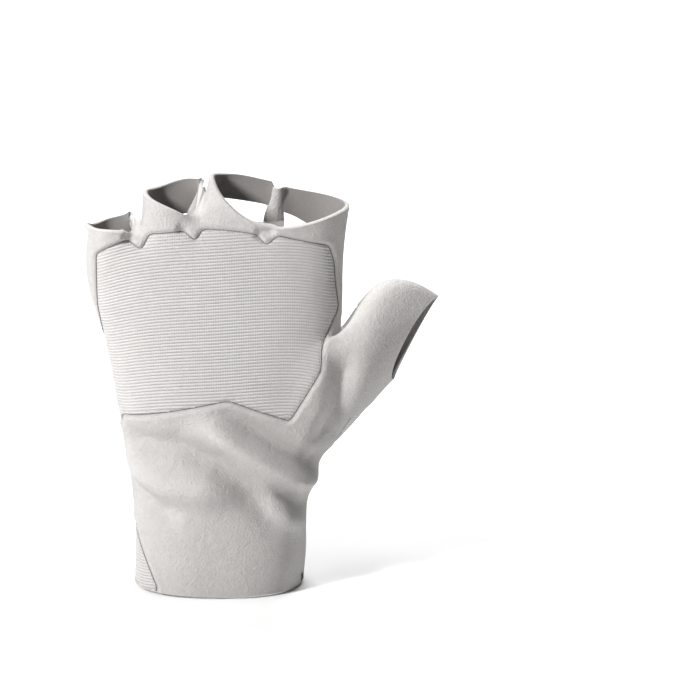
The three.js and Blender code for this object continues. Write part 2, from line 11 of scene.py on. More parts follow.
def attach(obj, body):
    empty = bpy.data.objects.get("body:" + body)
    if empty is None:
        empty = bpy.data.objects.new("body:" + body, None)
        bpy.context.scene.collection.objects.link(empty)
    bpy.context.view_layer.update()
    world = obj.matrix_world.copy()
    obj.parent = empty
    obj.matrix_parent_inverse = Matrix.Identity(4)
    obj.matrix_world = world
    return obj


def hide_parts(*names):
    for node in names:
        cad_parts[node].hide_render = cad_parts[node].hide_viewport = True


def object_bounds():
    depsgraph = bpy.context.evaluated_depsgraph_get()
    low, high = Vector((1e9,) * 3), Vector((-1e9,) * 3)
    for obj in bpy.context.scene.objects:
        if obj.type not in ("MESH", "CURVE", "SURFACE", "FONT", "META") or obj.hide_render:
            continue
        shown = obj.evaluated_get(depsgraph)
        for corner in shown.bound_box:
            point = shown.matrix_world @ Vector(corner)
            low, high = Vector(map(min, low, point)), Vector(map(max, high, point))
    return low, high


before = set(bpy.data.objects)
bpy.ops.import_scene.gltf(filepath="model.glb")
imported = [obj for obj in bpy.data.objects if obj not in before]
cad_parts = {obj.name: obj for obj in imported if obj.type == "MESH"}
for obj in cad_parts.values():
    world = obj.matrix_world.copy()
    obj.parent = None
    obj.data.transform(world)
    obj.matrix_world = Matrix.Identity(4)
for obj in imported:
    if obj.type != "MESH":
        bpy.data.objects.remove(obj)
cadBounds = [list(corner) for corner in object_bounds()]
print("frame loaded")

mm = 0.001
size = dict(width=95.0, depth=44.0, height=155.0)
layers = dict(
    refine=4, liningRefine=3,
    suedeThick=0.85, ribbedDrop=0.45, ribbedThick=0.70, liningTop=-1.25, liningThick=0.75,
    rimRound=0.22, edgeWrap=3.0, backOverlap=1.5, thumbEdge=0.06, sharpAngle=38.0,
)


def inScene(name, data):
    made = bpy.data.objects.new(name, data)
    bpy.context.scene.collection.objects.link(made)
    return made


# Camera, floor and lights
view = dict(elevation=17.5, distance=2.2, across=0.259, centre=(0.0492, 0.0, 0.0892), sensor=36.0, far=20)
studio = dict(
    floorHalf=6.0, floorDrop=0.9, paper=(0.78, 0.78, 0.78, 1), paperRoughness=0.9,
    room=(0.95, 0.95, 0.95, 1), roomStrength=0.08,
    # name, place, aim, span and power
    lights=[
        ("keyLight", (-0.80, -0.56, 0.78), (0.0, 0.0, 0.09), 0.26, 21.5),
        ("upperLight", (0.12, -0.05, 0.95), (0.05, 0.0, 0.09), 0.30, 2.2),
        ("paperLight", (0.1, 1.0, 1.3), (0.1, 0.9, 0.0), 1.2, 36.0),
    ],
)


def makeCamera():
    data = bpy.data.cameras.new("camera")
    data.sensor_width = view["sensor"]
    data.lens = view["sensor"] * view["distance"] / view["across"]
    data.clip_end = view["far"]
    camera = inScene("camera", data)
    tilt = math.radians(view["elevation"])
    offset = Vector((0, -math.cos(tilt), math.sin(tilt))) * view["distance"]
    camera.location = Vector(view["centre"]) + offset
    camera.rotation_euler = (math.pi / 2 - tilt, 0, 0)
    bpy.context.scene.camera = camera


def makeLight(name, at, aim, span, power):
    data = bpy.data.lights.new(name, "AREA")
    data.shape = "DISK"
    data.size = span
    data.energy = power
    light = inScene(name, data)
    light.location = at
    direction = Vector(aim) - Vector(at)
    light.rotation_euler = direction.to_track_quat("-Z", "Y").to_euler()


def makeFloor():
    bm = bmesh.new()
    bmesh.ops.create_grid(bm, x_segments=2, y_segments=2, size=studio["floorHalf"])
    mesh = bpy.data.meshes.new("floor")
    for vert in bm.verts:
        vert.co.z = cadBounds[0][2] - studio["floorDrop"] * mm
    bm.to_mesh(mesh)
    bm.free()
    material = bpy.data.materials.new("palePaper")
    material.use_nodes = True
    shader = material.node_tree.nodes["Principled BSDF"]
    shader.inputs["Base Color"].default_value = studio["paper"]
    shader.inputs["Roughness"].default_value = studio["paperRoughness"]
    mesh.materials.append(material)
    inScene("floor", mesh)


def makeRoom():
    world = bpy.data.worlds.new("paleRoom")
    world.use_nodes = True
    background = world.node_tree.nodes["Background"]
    background.inputs["Color"].default_value = studio["room"]
    background.inputs["Strength"].default_value = studio["roomStrength"]
    bpy.context.scene.world = world
    bpy.context.scene.view_settings.view_transform = "Standard"


makeCamera()
makeFloor()
makeRoom()
for light in studio["lights"]:
    makeLight(*light)
print("camera and stage made")


# Node helpers for materials and Geometry Nodes
def node(tree, kind, **settings):
    made = tree.nodes.new(kind)
    for key, value in settings.items():
        setattr(made, key, value)
    return made


def link(tree, source, target):
    tree.links.new(source, target)


def shaderGroup(name, inputs, outputs):
    group = bpy.data.node_groups.new(name, "ShaderNodeTree")
    for label, kind, default in inputs:
        socket = group.interface.new_socket(label, in_out="INPUT", socket_type=kind)
        if default is not None:
            socket.default_value = default
    for label, kind in outputs:
        group.interface.new_socket(label, in_out="OUTPUT", socket_type=kind)
    return group, node(group, "NodeGroupInput"), node(group, "NodeGroupOutput")


def math2(tree, operation, a, b=None, clamp=False):
    made = node(tree, "ShaderNodeMath", operation=operation, use_clamp=clamp)
    for slot, value in zip(made.inputs, (a, b)):
        if value is None:
            continue
        if isinstance(value, (int, float)):
            slot.default_value = value
        else:
            link(tree, value, slot)
    return made.outputs[0]


nap = dict(
    roughness=0.62, contrast=2.2, fibreLift=0.7, mottleLift=0.5,
    # socket, detail and share of the colour mask
    grains=[("Fibre Scale", 4.0, 0.45), ("Mottle Scale", 3.0, 0.35), ("Cloud Scale", 2.0, 0.20)],
)


def makeNap():
    # soft brushed fibre: a mask for the colour and a height for the bump
    group, start, end = shaderGroup(
        "brushedNap",
        [("Fibre Scale", "NodeSocketFloat", 900.0), ("Mottle Scale", "NodeSocketFloat", 160.0),
         ("Cloud Scale", "NodeSocketFloat", 28.0)],
        [("Mask", "NodeSocketFloat"), ("Height", "NodeSocketFloat")],
    )
    place = node(group, "ShaderNodeTexCoord")
    grains, mask = {}, None
    for label, detail, share in nap["grains"]:
        grain = node(group, "ShaderNodeTexNoise")
        grain.inputs["Detail"].default_value = detail
        grain.inputs["Roughness"].default_value = nap["roughness"]
        link(group, start.outputs[label], grain.inputs["Scale"])
        link(group, place.outputs["Object"], grain.inputs["Vector"])
        part = math2(group, "MULTIPLY", grain.outputs["Fac"], share)
        mask = part if mask is None else math2(group, "ADD", mask, part)
        grains[label] = grain.outputs["Fac"]
    away = math2(group, "MULTIPLY", math2(group, "SUBTRACT", mask, 0.5), nap["contrast"])
    mask = math2(group, "ADD", away, 0.5, clamp=True)
    height = math2(group, "ADD", math2(group, "MULTIPLY", grains["Fibre Scale"], nap["fibreLift"]),
                   math2(group, "MULTIPLY", grains["Mottle Scale"], nap["mottleLift"]))
    link(group, mask, end.inputs["Mask"])
    link(group, height, end.inputs["Height"])
    return group


weave = dict(threadShare=0.55, grainShare=0.45, grainScale=220.0, grainDetail=3.0)


def makeWeave():
    # plain weave, laid over the piece from its three sides
    group, start, end = shaderGroup(
        "plainWeave",
        [("Threads", "NodeSocketFloat", 1400.0), ("Sharpness", "NodeSocketFloat", 4.0)],
        [("Height", "NodeSocketFloat"), ("Mask", "NodeSocketFloat")],
    )
    place = node(group, "ShaderNodeTexCoord")
    scaled = node(group, "ShaderNodeVectorMath", operation="SCALE")
    link(group, place.outputs["Object"], scaled.inputs[0])
    link(group, math2(group, "MULTIPLY", start.outputs["Threads"], math.pi), scaled.inputs["Scale"])
    split = node(group, "ShaderNodeSeparateXYZ")
    link(group, scaled.outputs[0], split.inputs[0])
    waves = [math2(group, "SINE", split.outputs[i]) for i in range(3)]
    facing = node(group, "ShaderNodeVectorMath", operation="ABSOLUTE")
    link(group, place.outputs["Normal"], facing.inputs[0])
    tilt = node(group, "ShaderNodeSeparateXYZ")
    link(group, facing.outputs[0], tilt.inputs[0])
    weights = [math2(group, "POWER", tilt.outputs[i], start.outputs["Sharpness"]) for i in range(3)]
    total = math2(group, "ADD", math2(group, "ADD", weights[0], weights[1]), weights[2])
    height = None
    for i in range(3):
        a, b = waves[(i + 1) % 3], waves[(i + 2) % 3]
        cell = math2(group, "MULTIPLY", math2(group, "MULTIPLY", a, b), weights[i])
        height = cell if height is None else math2(group, "ADD", height, cell)
    height = math2(group, "DIVIDE", height, total)
    height = math2(group, "MULTIPLY_ADD", height, 0.5)
    height.node.inputs[2].default_value = 0.5
    link(group, height, end.inputs["Height"])
    grain = node(group, "ShaderNodeTexNoise")
    grain.inputs["Scale"].default_value = weave["grainScale"]
    grain.inputs["Detail"].default_value = weave["grainDetail"]
    link(group, place.outputs["Object"], grain.inputs["Vector"])
    mask = math2(group, "ADD", math2(group, "MULTIPLY", height, weave["threadShare"]),
                 math2(group, "MULTIPLY", grain.outputs["Fac"], weave["grainShare"]))
    link(group, mask, end.inputs["Mask"])
    return group


# cloud detail, and how strongly fold height paints shade into hollows and highlight onto ridges
cloudAndFoldShadeSettings = dict(detail=4.0, foldShadeShare=0.12)


def makeCloudsAndFoldShade():
    # broad random clouds of tone, plus painted shade and highlight: paler fold ridges and darker fold
    # hollows, from the fold attribute
    group, start, end = shaderGroup(
        "cloudsAndFoldShade",
        [("Cloud Scale", "NodeSocketFloat", 18.0), ("Contrast", "NodeSocketFloat", 0.5)],
        [("Mask", "NodeSocketFloat")],
    )
    place = node(group, "ShaderNodeTexCoord")
    cloud = node(group, "ShaderNodeTexNoise")
    cloud.inputs["Detail"].default_value = cloudAndFoldShadeSettings["detail"]
    link(group, start.outputs["Cloud Scale"], cloud.inputs["Scale"])
    link(group, place.outputs["Object"], cloud.inputs["Vector"])
    # painted shade from fold height: ridges paler, hollows darker
    lifted = node(group, "ShaderNodeAttribute", attribute_name="fold")
    paintedFoldShade = math2(group, "MULTIPLY", lifted.outputs["Fac"], cloudAndFoldShadeSettings["foldShadeShare"])
    both = math2(group, "ADD", cloud.outputs["Fac"], paintedFoldShade)
    away = math2(group, "SUBTRACT", both, 0.5)
    mask = math2(group, "MULTIPLY_ADD", away, start.outputs["Contrast"])
    mask.node.inputs[2].default_value = 0.5
    mask.node.use_clamp = True
    link(group, mask, end.inputs["Mask"])
    return group


shared = dict(nap=makeNap(), weave=makeWeave(), cloudsAndShade=makeCloudsAndFoldShade())


def useGroup(tree, group, **values):
    made = node(tree, "ShaderNodeGroup")
    made.node_tree = group
    for label, value in values.items():
        made.inputs[label.replace("_", " ")].default_value = value
    return made


# how much the surface pattern and the clouds with painted fold shade each give to the colour
toneShares = dict(surface=0.55, foldShadeAndClouds=0.45)
sheenRoughness = 0.45


def clothMaterial(name, dark, light, group, groupValues, bump, roughness=0.9, sheen=0.0,
                  cloudsAndShade=0.5, specular=0.3, seamShadowColour=None, phase=None):
    material = bpy.data.materials.new(name)
    material.use_nodes = True
    tree = material.node_tree
    shader = tree.nodes["Principled BSDF"]
    shader.inputs["Roughness"].default_value = roughness
    shader.inputs["Specular IOR Level"].default_value = specular
    if sheen:
        shader.inputs["Sheen Weight"].default_value = sheen
        shader.inputs["Sheen Roughness"].default_value = sheenRoughness
    surface = useGroup(tree, shared[group], **groupValues)
    # random clouds, with painted shade in fold hollows and painted highlight on fold ridges
    foldShadeAndClouds = useGroup(tree, shared["cloudsAndShade"], Contrast=cloudsAndShade)
    ramp = node(tree, "ShaderNodeMix", data_type="RGBA")
    ramp.inputs["A"].default_value = (*dark, 1)
    ramp.inputs["B"].default_value = (*light, 1)
    both = math2(tree, "ADD", math2(tree, "MULTIPLY", surface.outputs["Mask"], toneShares["surface"]),
                 math2(tree, "MULTIPLY", foldShadeAndClouds.outputs["Mask"], toneShares["foldShadeAndClouds"]), clamp=True)
    link(tree, both, ramp.inputs["Factor"])
    colour = ramp.outputs["Result"]
    # painted shadow along the seams with the ribbed rubber, mixed in by the edge attribute
    if seamShadowColour:
        seamShadowMask = node(tree, "ShaderNodeAttribute", attribute_name="edge")
        tinted = node(tree, "ShaderNodeMix", data_type="RGBA")
        tinted.inputs["B"].default_value = (*seamShadowColour, 1)
        link(tree, seamShadowMask.outputs["Fac"], tinted.inputs["Factor"])
        link(tree, colour, tinted.inputs["A"])
        colour = tinted.outputs["Result"]
    link(tree, colour, shader.inputs["Base Color"])
    height = surface.outputs["Height"]
    if phase:
        wave = node(tree, "ShaderNodeAttribute", attribute_name=phase["name"])
        turns = math2(tree, "SINE", math2(tree, "MULTIPLY", wave.outputs["Fac"], 2 * math.pi))
        height = math2(tree, "ADD", math2(tree, "MULTIPLY", turns, phase["share"]), height)
    relief = node(tree, "ShaderNodeBump")
    relief.inputs["Strength"].default_value = bump[0]
    relief.inputs["Distance"].default_value = bump[1] * mm
    link(tree, height, relief.inputs["Height"])
    link(tree, relief.outputs["Normal"], shader.inputs["Normal"])
    return material


# Finishes: darkest and lightest colour, pattern and its scales, then strength and depth of the bump
finishes = dict(
    # suede darkens to its painted seam shadow colour next to the ribbed rubber
    suede=clothMaterial("brushedSuede", (0.33, 0.317, 0.308), (0.55, 0.535, 0.52), "nap",
                        dict(Fibre_Scale=1300.0, Mottle_Scale=420.0, Cloud_Scale=60.0),
                        (0.95, 0.70), roughness=0.95, sheen=0.12, seamShadowColour=(0.30, 0.29, 0.28)),
    ribbed=clothMaterial("ribbedRubber", (0.32, 0.31, 0.30), (0.44, 0.43, 0.42), "nap",
                         dict(Fibre_Scale=700.0, Mottle_Scale=120.0, Cloud_Scale=22.0),
                         (0.5, 0.20), roughness=0.7, phase=dict(name="crossRibs", share=0.30)),
    rib=clothMaterial("rubberRib", (0.42, 0.408, 0.398), (0.54, 0.525, 0.515), "nap",
                      dict(Fibre_Scale=700.0, Mottle_Scale=120.0, Cloud_Scale=22.0),
                      (0.5, 0.15), roughness=0.62, phase=dict(name="crossRibs", share=0.55)),
    lining=clothMaterial("wovenLining", (0.175, 0.165, 0.158), (0.255, 0.243, 0.235), "nap",
                         dict(Fibre_Scale=1600.0, Mottle_Scale=420.0, Cloud_Scale=30.0),
                         (0.45, 0.2), roughness=0.95, cloudsAndShade=0.4),
    strip=clothMaterial("stripCloth", (0.11, 0.105, 0.10), (0.17, 0.162, 0.156), "nap",
                        dict(Fibre_Scale=1600.0, Mottle_Scale=420.0, Cloud_Scale=30.0),
                        (0.5, 0.2), roughness=0.95, cloudsAndShade=0.4),
    rawEdge=clothMaterial("rawEdge", (0.34, 0.328, 0.32), (0.52, 0.505, 0.49), "nap",
                          dict(Fibre_Scale=1500.0, Mottle_Scale=500.0, Cloud_Scale=40.0),
                          (0.8, 0.4), roughness=1.0),
    binding=clothMaterial("wovenBinding", (0.26, 0.25, 0.24), (0.40, 0.385, 0.37), "weave",
                          dict(Threads=2000.0), (0.6, 0.2), roughness=0.9),
    strap=clothMaterial("strapWebbing", (0.0035, 0.0035, 0.0035), (0.0095, 0.0095, 0.0095), "weave",
                        dict(Threads=1300.0), (0.5, 0.2), roughness=0.8, specular=0.22),
    patch=clothMaterial("loopPile", (0.0035, 0.0035, 0.0035), (0.014, 0.014, 0.014), "nap",
                        dict(Fibre_Scale=1500.0, Mottle_Scale=600.0, Cloud_Scale=60.0),
                        (1.0, 0.6), roughness=1.0, specular=0.12),
    tack=clothMaterial("denseThread", (0.12, 0.115, 0.11), (0.24, 0.23, 0.22), "weave",
                       dict(Threads=2600.0), (0.8, 0.2), roughness=0.85),
    padThread=clothMaterial("padThread", (0.19, 0.182, 0.175), (0.30, 0.29, 0.28), "weave",
                            dict(Threads=4000.0), (0.6, 0.1), roughness=0.85),
    blackThread=clothMaterial("blackThread", (0.008, 0.008, 0.008), (0.03, 0.03, 0.03), "weave",
                              dict(Threads=4000.0), (0.6, 0.1), roughness=0.7),
)
print("materials made:", len(finishes))


# The glove's outer face, from a coarse cage of four-sided faces
hand = dict(
    rimSide=0.27,  # depth at which a rim point counts as all back or all palm
    acrossHand=[-1, -0.9, -0.75, -0.57, -0.42, -0.27, -0.115, 0.04, 0.24, 0.44, 0.64, 0.84, 1],
    roundness=2.3,
    # up, left, right, back, palm
    sections=[
        (0.000, -0.345, 0.352, 0.50, 0.46), (0.058, -0.345, 0.364, 0.51, 0.47),
        (0.116, -0.340, 0.364, 0.51, 0.47), (0.174, -0.342, 0.364, 0.50, 0.46),
        (0.232, -0.350, 0.392, 0.49, 0.45), (0.297, -0.362, 0.402, 0.48, 0.44),
        (0.374, -0.385, 0.425, 0.46, 0.42), (0.452, -0.412, 0.452, 0.43, 0.40),
        (0.529, -0.430, 0.480, 0.40, 0.38), (0.600, -0.454, 0.500, 0.38, 0.37),
        (0.684, -0.488, 0.514, 0.36, 0.35), (0.761, -0.526, 0.514, 0.34, 0.33),
        (0.826, -0.522, 0.522, 0.32, 0.31),
    ],
    thumbHole=dict(lowRow=5, highRow=9, firstLine=10, lastLine=14),
    # across, through, up of the top of the hand where the fingers part
    baseBack=[
        (-0.520, 0.00, 0.855), (-0.460, -0.22, 0.860), (-0.385, -0.27, 0.864), (-0.285, -0.23, 0.882),
        (-0.230, -0.29, 0.890), (-0.140, -0.31, 0.893), (-0.055, -0.28, 0.928), (0.020, -0.31, 0.905),
        (0.110, -0.30, 0.884), (0.215, -0.29, 0.874), (0.335, -0.29, 0.876), (0.450, -0.24, 0.885),
        (0.536, 0.00, 0.885),
    ],
    basePalm=[
        (-0.460, 0.20, 0.850), (-0.380, 0.25, 0.850), (-0.285, 0.22, 0.876), (-0.230, 0.25, 0.900),
        (-0.130, 0.27, 0.925), (-0.038, 0.24, 0.952), (0.070, 0.27, 0.945), (0.180, 0.25, 0.925),
        (0.240, 0.20, 0.900), (0.310, 0.26, 0.905), (0.420, 0.22, 0.895),
    ],
    crotches={3: (-0.286, 0.00, 0.886), 6: (-0.046, 0.00, 0.943)},
    # first line, last line, rim of each loop from the little finger's side round the back, its sharp corners
    loops=[
        (0, 3, [(-0.512, 0.00, 0.882), (-0.450, -0.26, 0.893), (-0.375, -0.30, 0.890),
                (-0.320, -0.25, 0.888), (-0.314, 0.00, 0.892), (-0.326, 0.26, 0.892),
                (-0.395, 0.27, 0.884), (-0.455, 0.22, 0.880)], (0, 5)),
        (3, 6, [(-0.275, -0.18, 0.970), (-0.222, -0.28, 0.960), (-0.150, -0.32, 0.943),
                (-0.085, -0.26, 0.925), (-0.058, 0.00, 0.955), (-0.048, 0.26, 0.974),
                (-0.110, 0.31, 0.979), (-0.195, 0.29, 0.966), (-0.262, 0.19, 0.962),
                (-0.290, 0.00, 0.972)], (5,)),
        (6, 12, [(-0.015, -0.16, 1.004), (0.025, -0.26, 0.972), (0.085, -0.31, 0.935),
                 (0.180, -0.32, 0.900), (0.310, -0.32, 0.901), (0.455, -0.25, 0.926),
                 (0.550, 0.00, 0.937), (0.440, 0.28, 0.938), (0.262, 0.31, 0.953),
                 (0.241, 0.25, 0.943), (0.213, 0.31, 0.966), (0.090, 0.32, 0.986),
                 (-0.005, 0.25, 0.996), (-0.032, 0.02, 1.010)], (8, 9, 10)),
    ],
    # top across and up, low across and up, middle, half depth, how far the back falls short
    thumbRings=[
        (0.540, 0.680, 0.475, 0.340, 0.02, 0.37, 0.00), (0.628, 0.755, 0.575, 0.415, 0.05, 0.32, 0.00),
        (0.765, 0.750, 0.645, 0.465, 0.07, 0.23, 0.015), (0.865, 0.706, 0.690, 0.490, 0.08, 0.17, 0.045),
    ],
)


def buildCage():
    lineCount = 2 * (len(hand["acrossHand"]) - 1)
    half = lineCount // 2
    points, faces = [], []

    def add(share, side):
        points.append((share[0] * size["width"], share[1] * size["depth"], share[2] * size["height"], side))
        return len(points) - 1

    def sideOf(line):
        return -math.sin(2 * math.pi * line / lineCount)

    def wall(base, rim):
        for i in range(len(base)):
            after = (i + 1) % len(base)
            faces.append((base[i], base[after], rim[after], rim[i]))

    hole = hand["thumbHole"]
    grid = []
    for row, (up, left, right, back, palm) in enumerate(hand["sections"]):
        ring = []
        for line in range(lineCount):
            inRows = hole["lowRow"] < row < hole["highRow"]
            if inRows and hole["firstLine"] < line < hole["lastLine"]:
                ring.append(-1)
                continue
            share = hand["acrossHand"][line if line <= half else lineCount - line]
            bulge = (1 - abs(share) ** hand["roundness"]) ** (1 / hand["roundness"])
            through = -back * bulge if line <= half else palm * bulge
            across = (left + right) / 2 + (right - left) / 2 * share
            ring.append(add((across, through, up), sideOf(line)))
        grid.append(ring)
    top = [add(share, sideOf(i)) for i, share in enumerate(hand["baseBack"])]
    top += [add(share, sideOf(i + len(top))) for i, share in enumerate(reversed(hand["basePalm"]))]
    grid.append(top)
    for row in range(len(grid) - 1):
        for line in range(lineCount):
            after = (line + 1) % lineCount
            inRows = hole["lowRow"] <= row < hole["highRow"]
            if inRows and hole["firstLine"] <= line < hole["lastLine"]:
                continue
            faces.append((grid[row][line], grid[row][after], grid[row + 1][after], grid[row + 1][line]))

    crotch = {line: add(share, 0) for line, share in hand["crotches"].items()}
    fixed = []
    for first, last, rim, corners in hand["loops"]:
        base = top[first:last + 1]
        if last in crotch:
            base.append(crotch[last])
        base += [top[(lineCount - line) % lineCount] for line in range(last, first - 1, -1)
                 if line not in (0, half)]
        if first in crotch:
            base.append(crotch[first])
        ring = [add(share, max(-1, min(1, share[1] / hand["rimSide"]))) for share in rim]
        wall(base, ring)
        fixed += [ring[i] for i in corners]

    low, high, firstLine, lastLine = (hole[key] for key in ("lowRow", "highRow", "firstLine", "lastLine"))
    border = [grid[low][line] for line in range(firstLine, lastLine)]
    border += [grid[row][lastLine] for row in range(low, high)]
    border += [grid[high][line] for line in range(lastLine, firstLine, -1)]
    border += [grid[row][firstLine] for row in range(high, low, -1)]
    inner = border
    for topAcross, topUp, lowAcross, lowUp, middle, depth, short in hand["thumbRings"]:
        outer = []
        for i in range(len(border)):
            turn = (5 / 4 - 2 * i / len(border)) * math.pi
            towardsTop = (1 + math.cos(turn)) / 2
            back = short * max(-math.sin(turn), 0)
            across = lowAcross + (topAcross - lowAcross) * towardsTop - back
            up = lowUp + (topUp - lowUp) * towardsTop + back / 4
            outer.append(add((across, middle + depth * math.sin(turn), up), math.sin(turn)))
        wall(inner, outer)
        inner = outer
    return np.array(points), np.array(faces), fixed


def refine(points, faces, fixed):
    # one round of Catmull-Clark, with free edges smoothed along themselves and the corners kept
    count = len(points)
    facePoints = points[faces].mean(axis=1)
    sides = np.stack([faces, np.roll(faces, -1, axis=1)], axis=2).reshape(-1, 2)
    edges, index = np.unique(np.sort(sides, axis=1), axis=0, return_inverse=True)
    index = index.reshape(-1)
    uses = np.bincount(index)
    owner = np.repeat(np.arange(len(faces)), 4)
    around = np.zeros((len(edges), points.shape[1]))
    np.add.at(around, index, facePoints[owner])
    middle = points[edges].mean(axis=1)
    inside = (uses == 2)[:, None]
    edgePoints = np.where(inside, (points[edges].sum(axis=1) + around) / 4, middle)

    valence = np.bincount(faces.reshape(-1), minlength=count)[:, None]
    faceSum = np.zeros_like(points)
    np.add.at(faceSum, faces.reshape(-1), np.repeat(facePoints, 4, axis=0))
    edgeSum = np.zeros_like(points)
    for end in (0, 1):
        np.add.at(edgeSum, edges[:, end], middle)
    moved = (faceSum / valence + 2 * edgeSum / valence + (valence - 3) * points) / valence
    free = edges[uses == 1]
    onRim = np.zeros_like(points)
    for a, b in ((0, 1), (1, 0)):
        np.add.at(onRim, free[:, a], points[free[:, b]])
    rimPoints = np.unique(free)
    moved[rimPoints] = 0.75 * points[rimPoints] + 0.125 * onRim[rimPoints]
    moved[fixed] = points[fixed]

    edgeStart, faceStart = count, count + len(edges)
    onEdge = edgeStart + index.reshape(-1, 4)
    centre = faceStart + np.arange(len(faces))
    split = np.stack([
        faces, onEdge, np.repeat(centre[:, None], 4, axis=1), np.roll(onEdge, 1, axis=1),
    ], axis=2).reshape(-1, 4)
    return np.concatenate([moved, edgePoints, facePoints]), split


def pointNormals(points, faces):
    corners = points[faces][:, :, :3]
    across = corners[:, 2] - corners[:, 0]
    over = corners[:, 3] - corners[:, 1]
    faceNormals = np.cross(across, over)
    normals = np.zeros((len(points), 3))
    np.add.at(normals, faces.reshape(-1), np.repeat(faceNormals, 4, axis=0))
    return normals / np.linalg.norm(normals, axis=1)[:, None]


# Folds of the cuff and small puckers: lift as a share of depth, reach and fading ends as shares of width,
# and where round the side a fold begins and is whole, from the palm (-1) to the back (1)
foldWrap = (-0.05, 0.50)
folds = [
    dict(name="cuffRidge", lift=0.095, reach=0.062, fade=(0.01, 0.20),
         path=[(-0.40, 0.330), (-0.335, 0.315), (-0.19, 0.272), (0.04, 0.248), (0.12, 0.235)]),
    dict(name="cuffHollow", lift=-0.070, reach=0.045, fade=(0.01, 0.12),
         path=[(-0.38, 0.262), (-0.30, 0.236), (-0.20, 0.205), (-0.12, 0.180)]),
    dict(name="longHollow", lift=-0.090, reach=0.055, fade=(0.05, 0.20),
         path=[(-0.38, 0.372), (-0.16, 0.372), (0.00, 0.335), (0.14, 0.255), (0.30, 0.145)]),
    dict(name="mainRidge", lift=0.120, reach=0.050, fade=(0.22, 0.01), wrap=(-0.15, 0.40),
         path=[(-0.14, 0.440), (-0.02, 0.412), (0.11, 0.362), (0.23, 0.318), (0.34, 0.275), (0.44, 0.258)]),
    dict(name="upperHollow", lift=-0.080, reach=0.046, fade=(0.22, 0.01), wrap=(-0.10, 0.45),
         path=[(-0.04, 0.470), (0.05, 0.445), (0.17, 0.398), (0.27, 0.352), (0.36, 0.318), (0.48, 0.300)]),
    dict(name="thumbSideHollow", lift=-0.110, reach=0.031, fade=(0.16, 0.01), wrap=(-0.10, 0.40),
         path=[(0.18, 0.283), (0.24, 0.262), (0.30, 0.232), (0.36, 0.196), (0.42, 0.160)]),
    dict(name="thumbSideRidge", lift=0.060, reach=0.036, fade=(0.16, 0.02),
         path=[(0.12, 0.248), (0.20, 0.220), (0.28, 0.182), (0.38, 0.132)]),
    dict(name="thumbHollow", lift=-0.120, reach=0.056, fade=(0.12, 0.14),
         path=[(0.487, 0.613), (0.489, 0.525), (0.474, 0.440), (0.425, 0.360), (0.375, 0.318)]),
    dict(name="littlePucker", lift=-0.028, reach=0.022, fade=(0.03, 0.03),
         path=[(-0.37, 0.878), (-0.30, 0.872)]),
    dict(name="ringPucker", lift=-0.030, reach=0.022, fade=(0.03, 0.03),
         path=[(-0.16, 0.908), (-0.09, 0.895)]),
    dict(name="middlePucker", lift=-0.032, reach=0.024, fade=(0.03, 0.03),
         path=[(0.14, 0.888), (0.24, 0.892)]),
]
undulation = dict(height=0.16, scale=0.055, seed=7.3)


def nearestOnPath(x, z, path, closed=False):
    # distance to a path, how far along it that is, and the path's length
    path = np.array(path)
    ends = np.roll(path, -1, axis=0) if closed else path[1:]
    starts = path if closed else path[:-1]
    nearest, run, travelled = np.full(len(x), np.inf), np.zeros(len(x)), 0.0
    for (ax, az), (bx, bz) in zip(starts, ends):
        length = math.hypot(bx - ax, bz - az)
        along = np.clip(((x - ax) * (bx - ax) + (z - az) * (bz - az)) / length ** 2, 0, 1)
        away = np.hypot(x - ax - along * (bx - ax), z - az - along * (bz - az))
        run = np.where(away < nearest, travelled + along * length, run)
        nearest = np.minimum(nearest, away)
        travelled += length
    return nearest, run, travelled


def distanceToPath(x, z, path, closed=False):
    return nearestOnPath(x, z, path, closed)[0]


def smoothStep(value, low, high):
    share = np.clip((value - low) / (high - low), 0, 1)
    return share * share * (3 - 2 * share)


def inMillimetres(outline):
    return [(across * size["width"], up * size["height"]) for across, up in outline]


def foldLift(points):
    x, _, z, side = points.T
    total = np.zeros(len(points))
    for fold in folds:
        away, run, length = nearestOnPath(x, z, inMillimetres(fold["path"]))
        away = away / (fold["reach"] * size["width"])
        rise, fall = (share * size["width"] for share in fold["fade"])
        fading = smoothStep(run, 0, rise) * smoothStep(length - run, 0, fall)
        fading = fading * smoothStep(-side, *fold.get("wrap", foldWrap))
        total += fold["lift"] * size["depth"] * np.exp(-away * away) * fading
    return total


def buildSurface(rounds):
    points, faces, fixed = buildCage()
    for _ in range(rounds):
        points, faces = refine(points, faces, fixed)
    normals = pointNormals(points, faces)
    lift = foldLift(points)
    wave = np.array([noise.noise(Vector(p[:3]) * undulation["scale"] + Vector((undulation["seed"],) * 3))
                     for p in points])
    points[:, :3] += normals * (lift + wave * undulation["height"])[:, None]
    return dict(points=points, faces=faces, normals=pointNormals(points, faces), lift=lift)


fine = buildSurface(layers["refine"])
coarse = buildSurface(layers["liningRefine"])
print("surfaces made:", len(fine["faces"]), "and", len(coarse["faces"]), "faces")


# Meshes, walls and cuts
def meshObject(name, points, faces, smooth=True):
    mesh = bpy.data.meshes.new(name)
    mesh.from_pydata([tuple(p) for p in np.asarray(points)[:, :3] * mm], [], [tuple(f) for f in faces])
    mesh.update()
    if smooth:
        mesh.shade_smooth()
    return inScene(name, mesh)


def setAttribute(mesh, name, values):
    layer = mesh.attributes.get(name) or mesh.attributes.new(name, "FLOAT", "POINT")
    layer.data.foreach_set("value", np.asarray(values, np.float32))


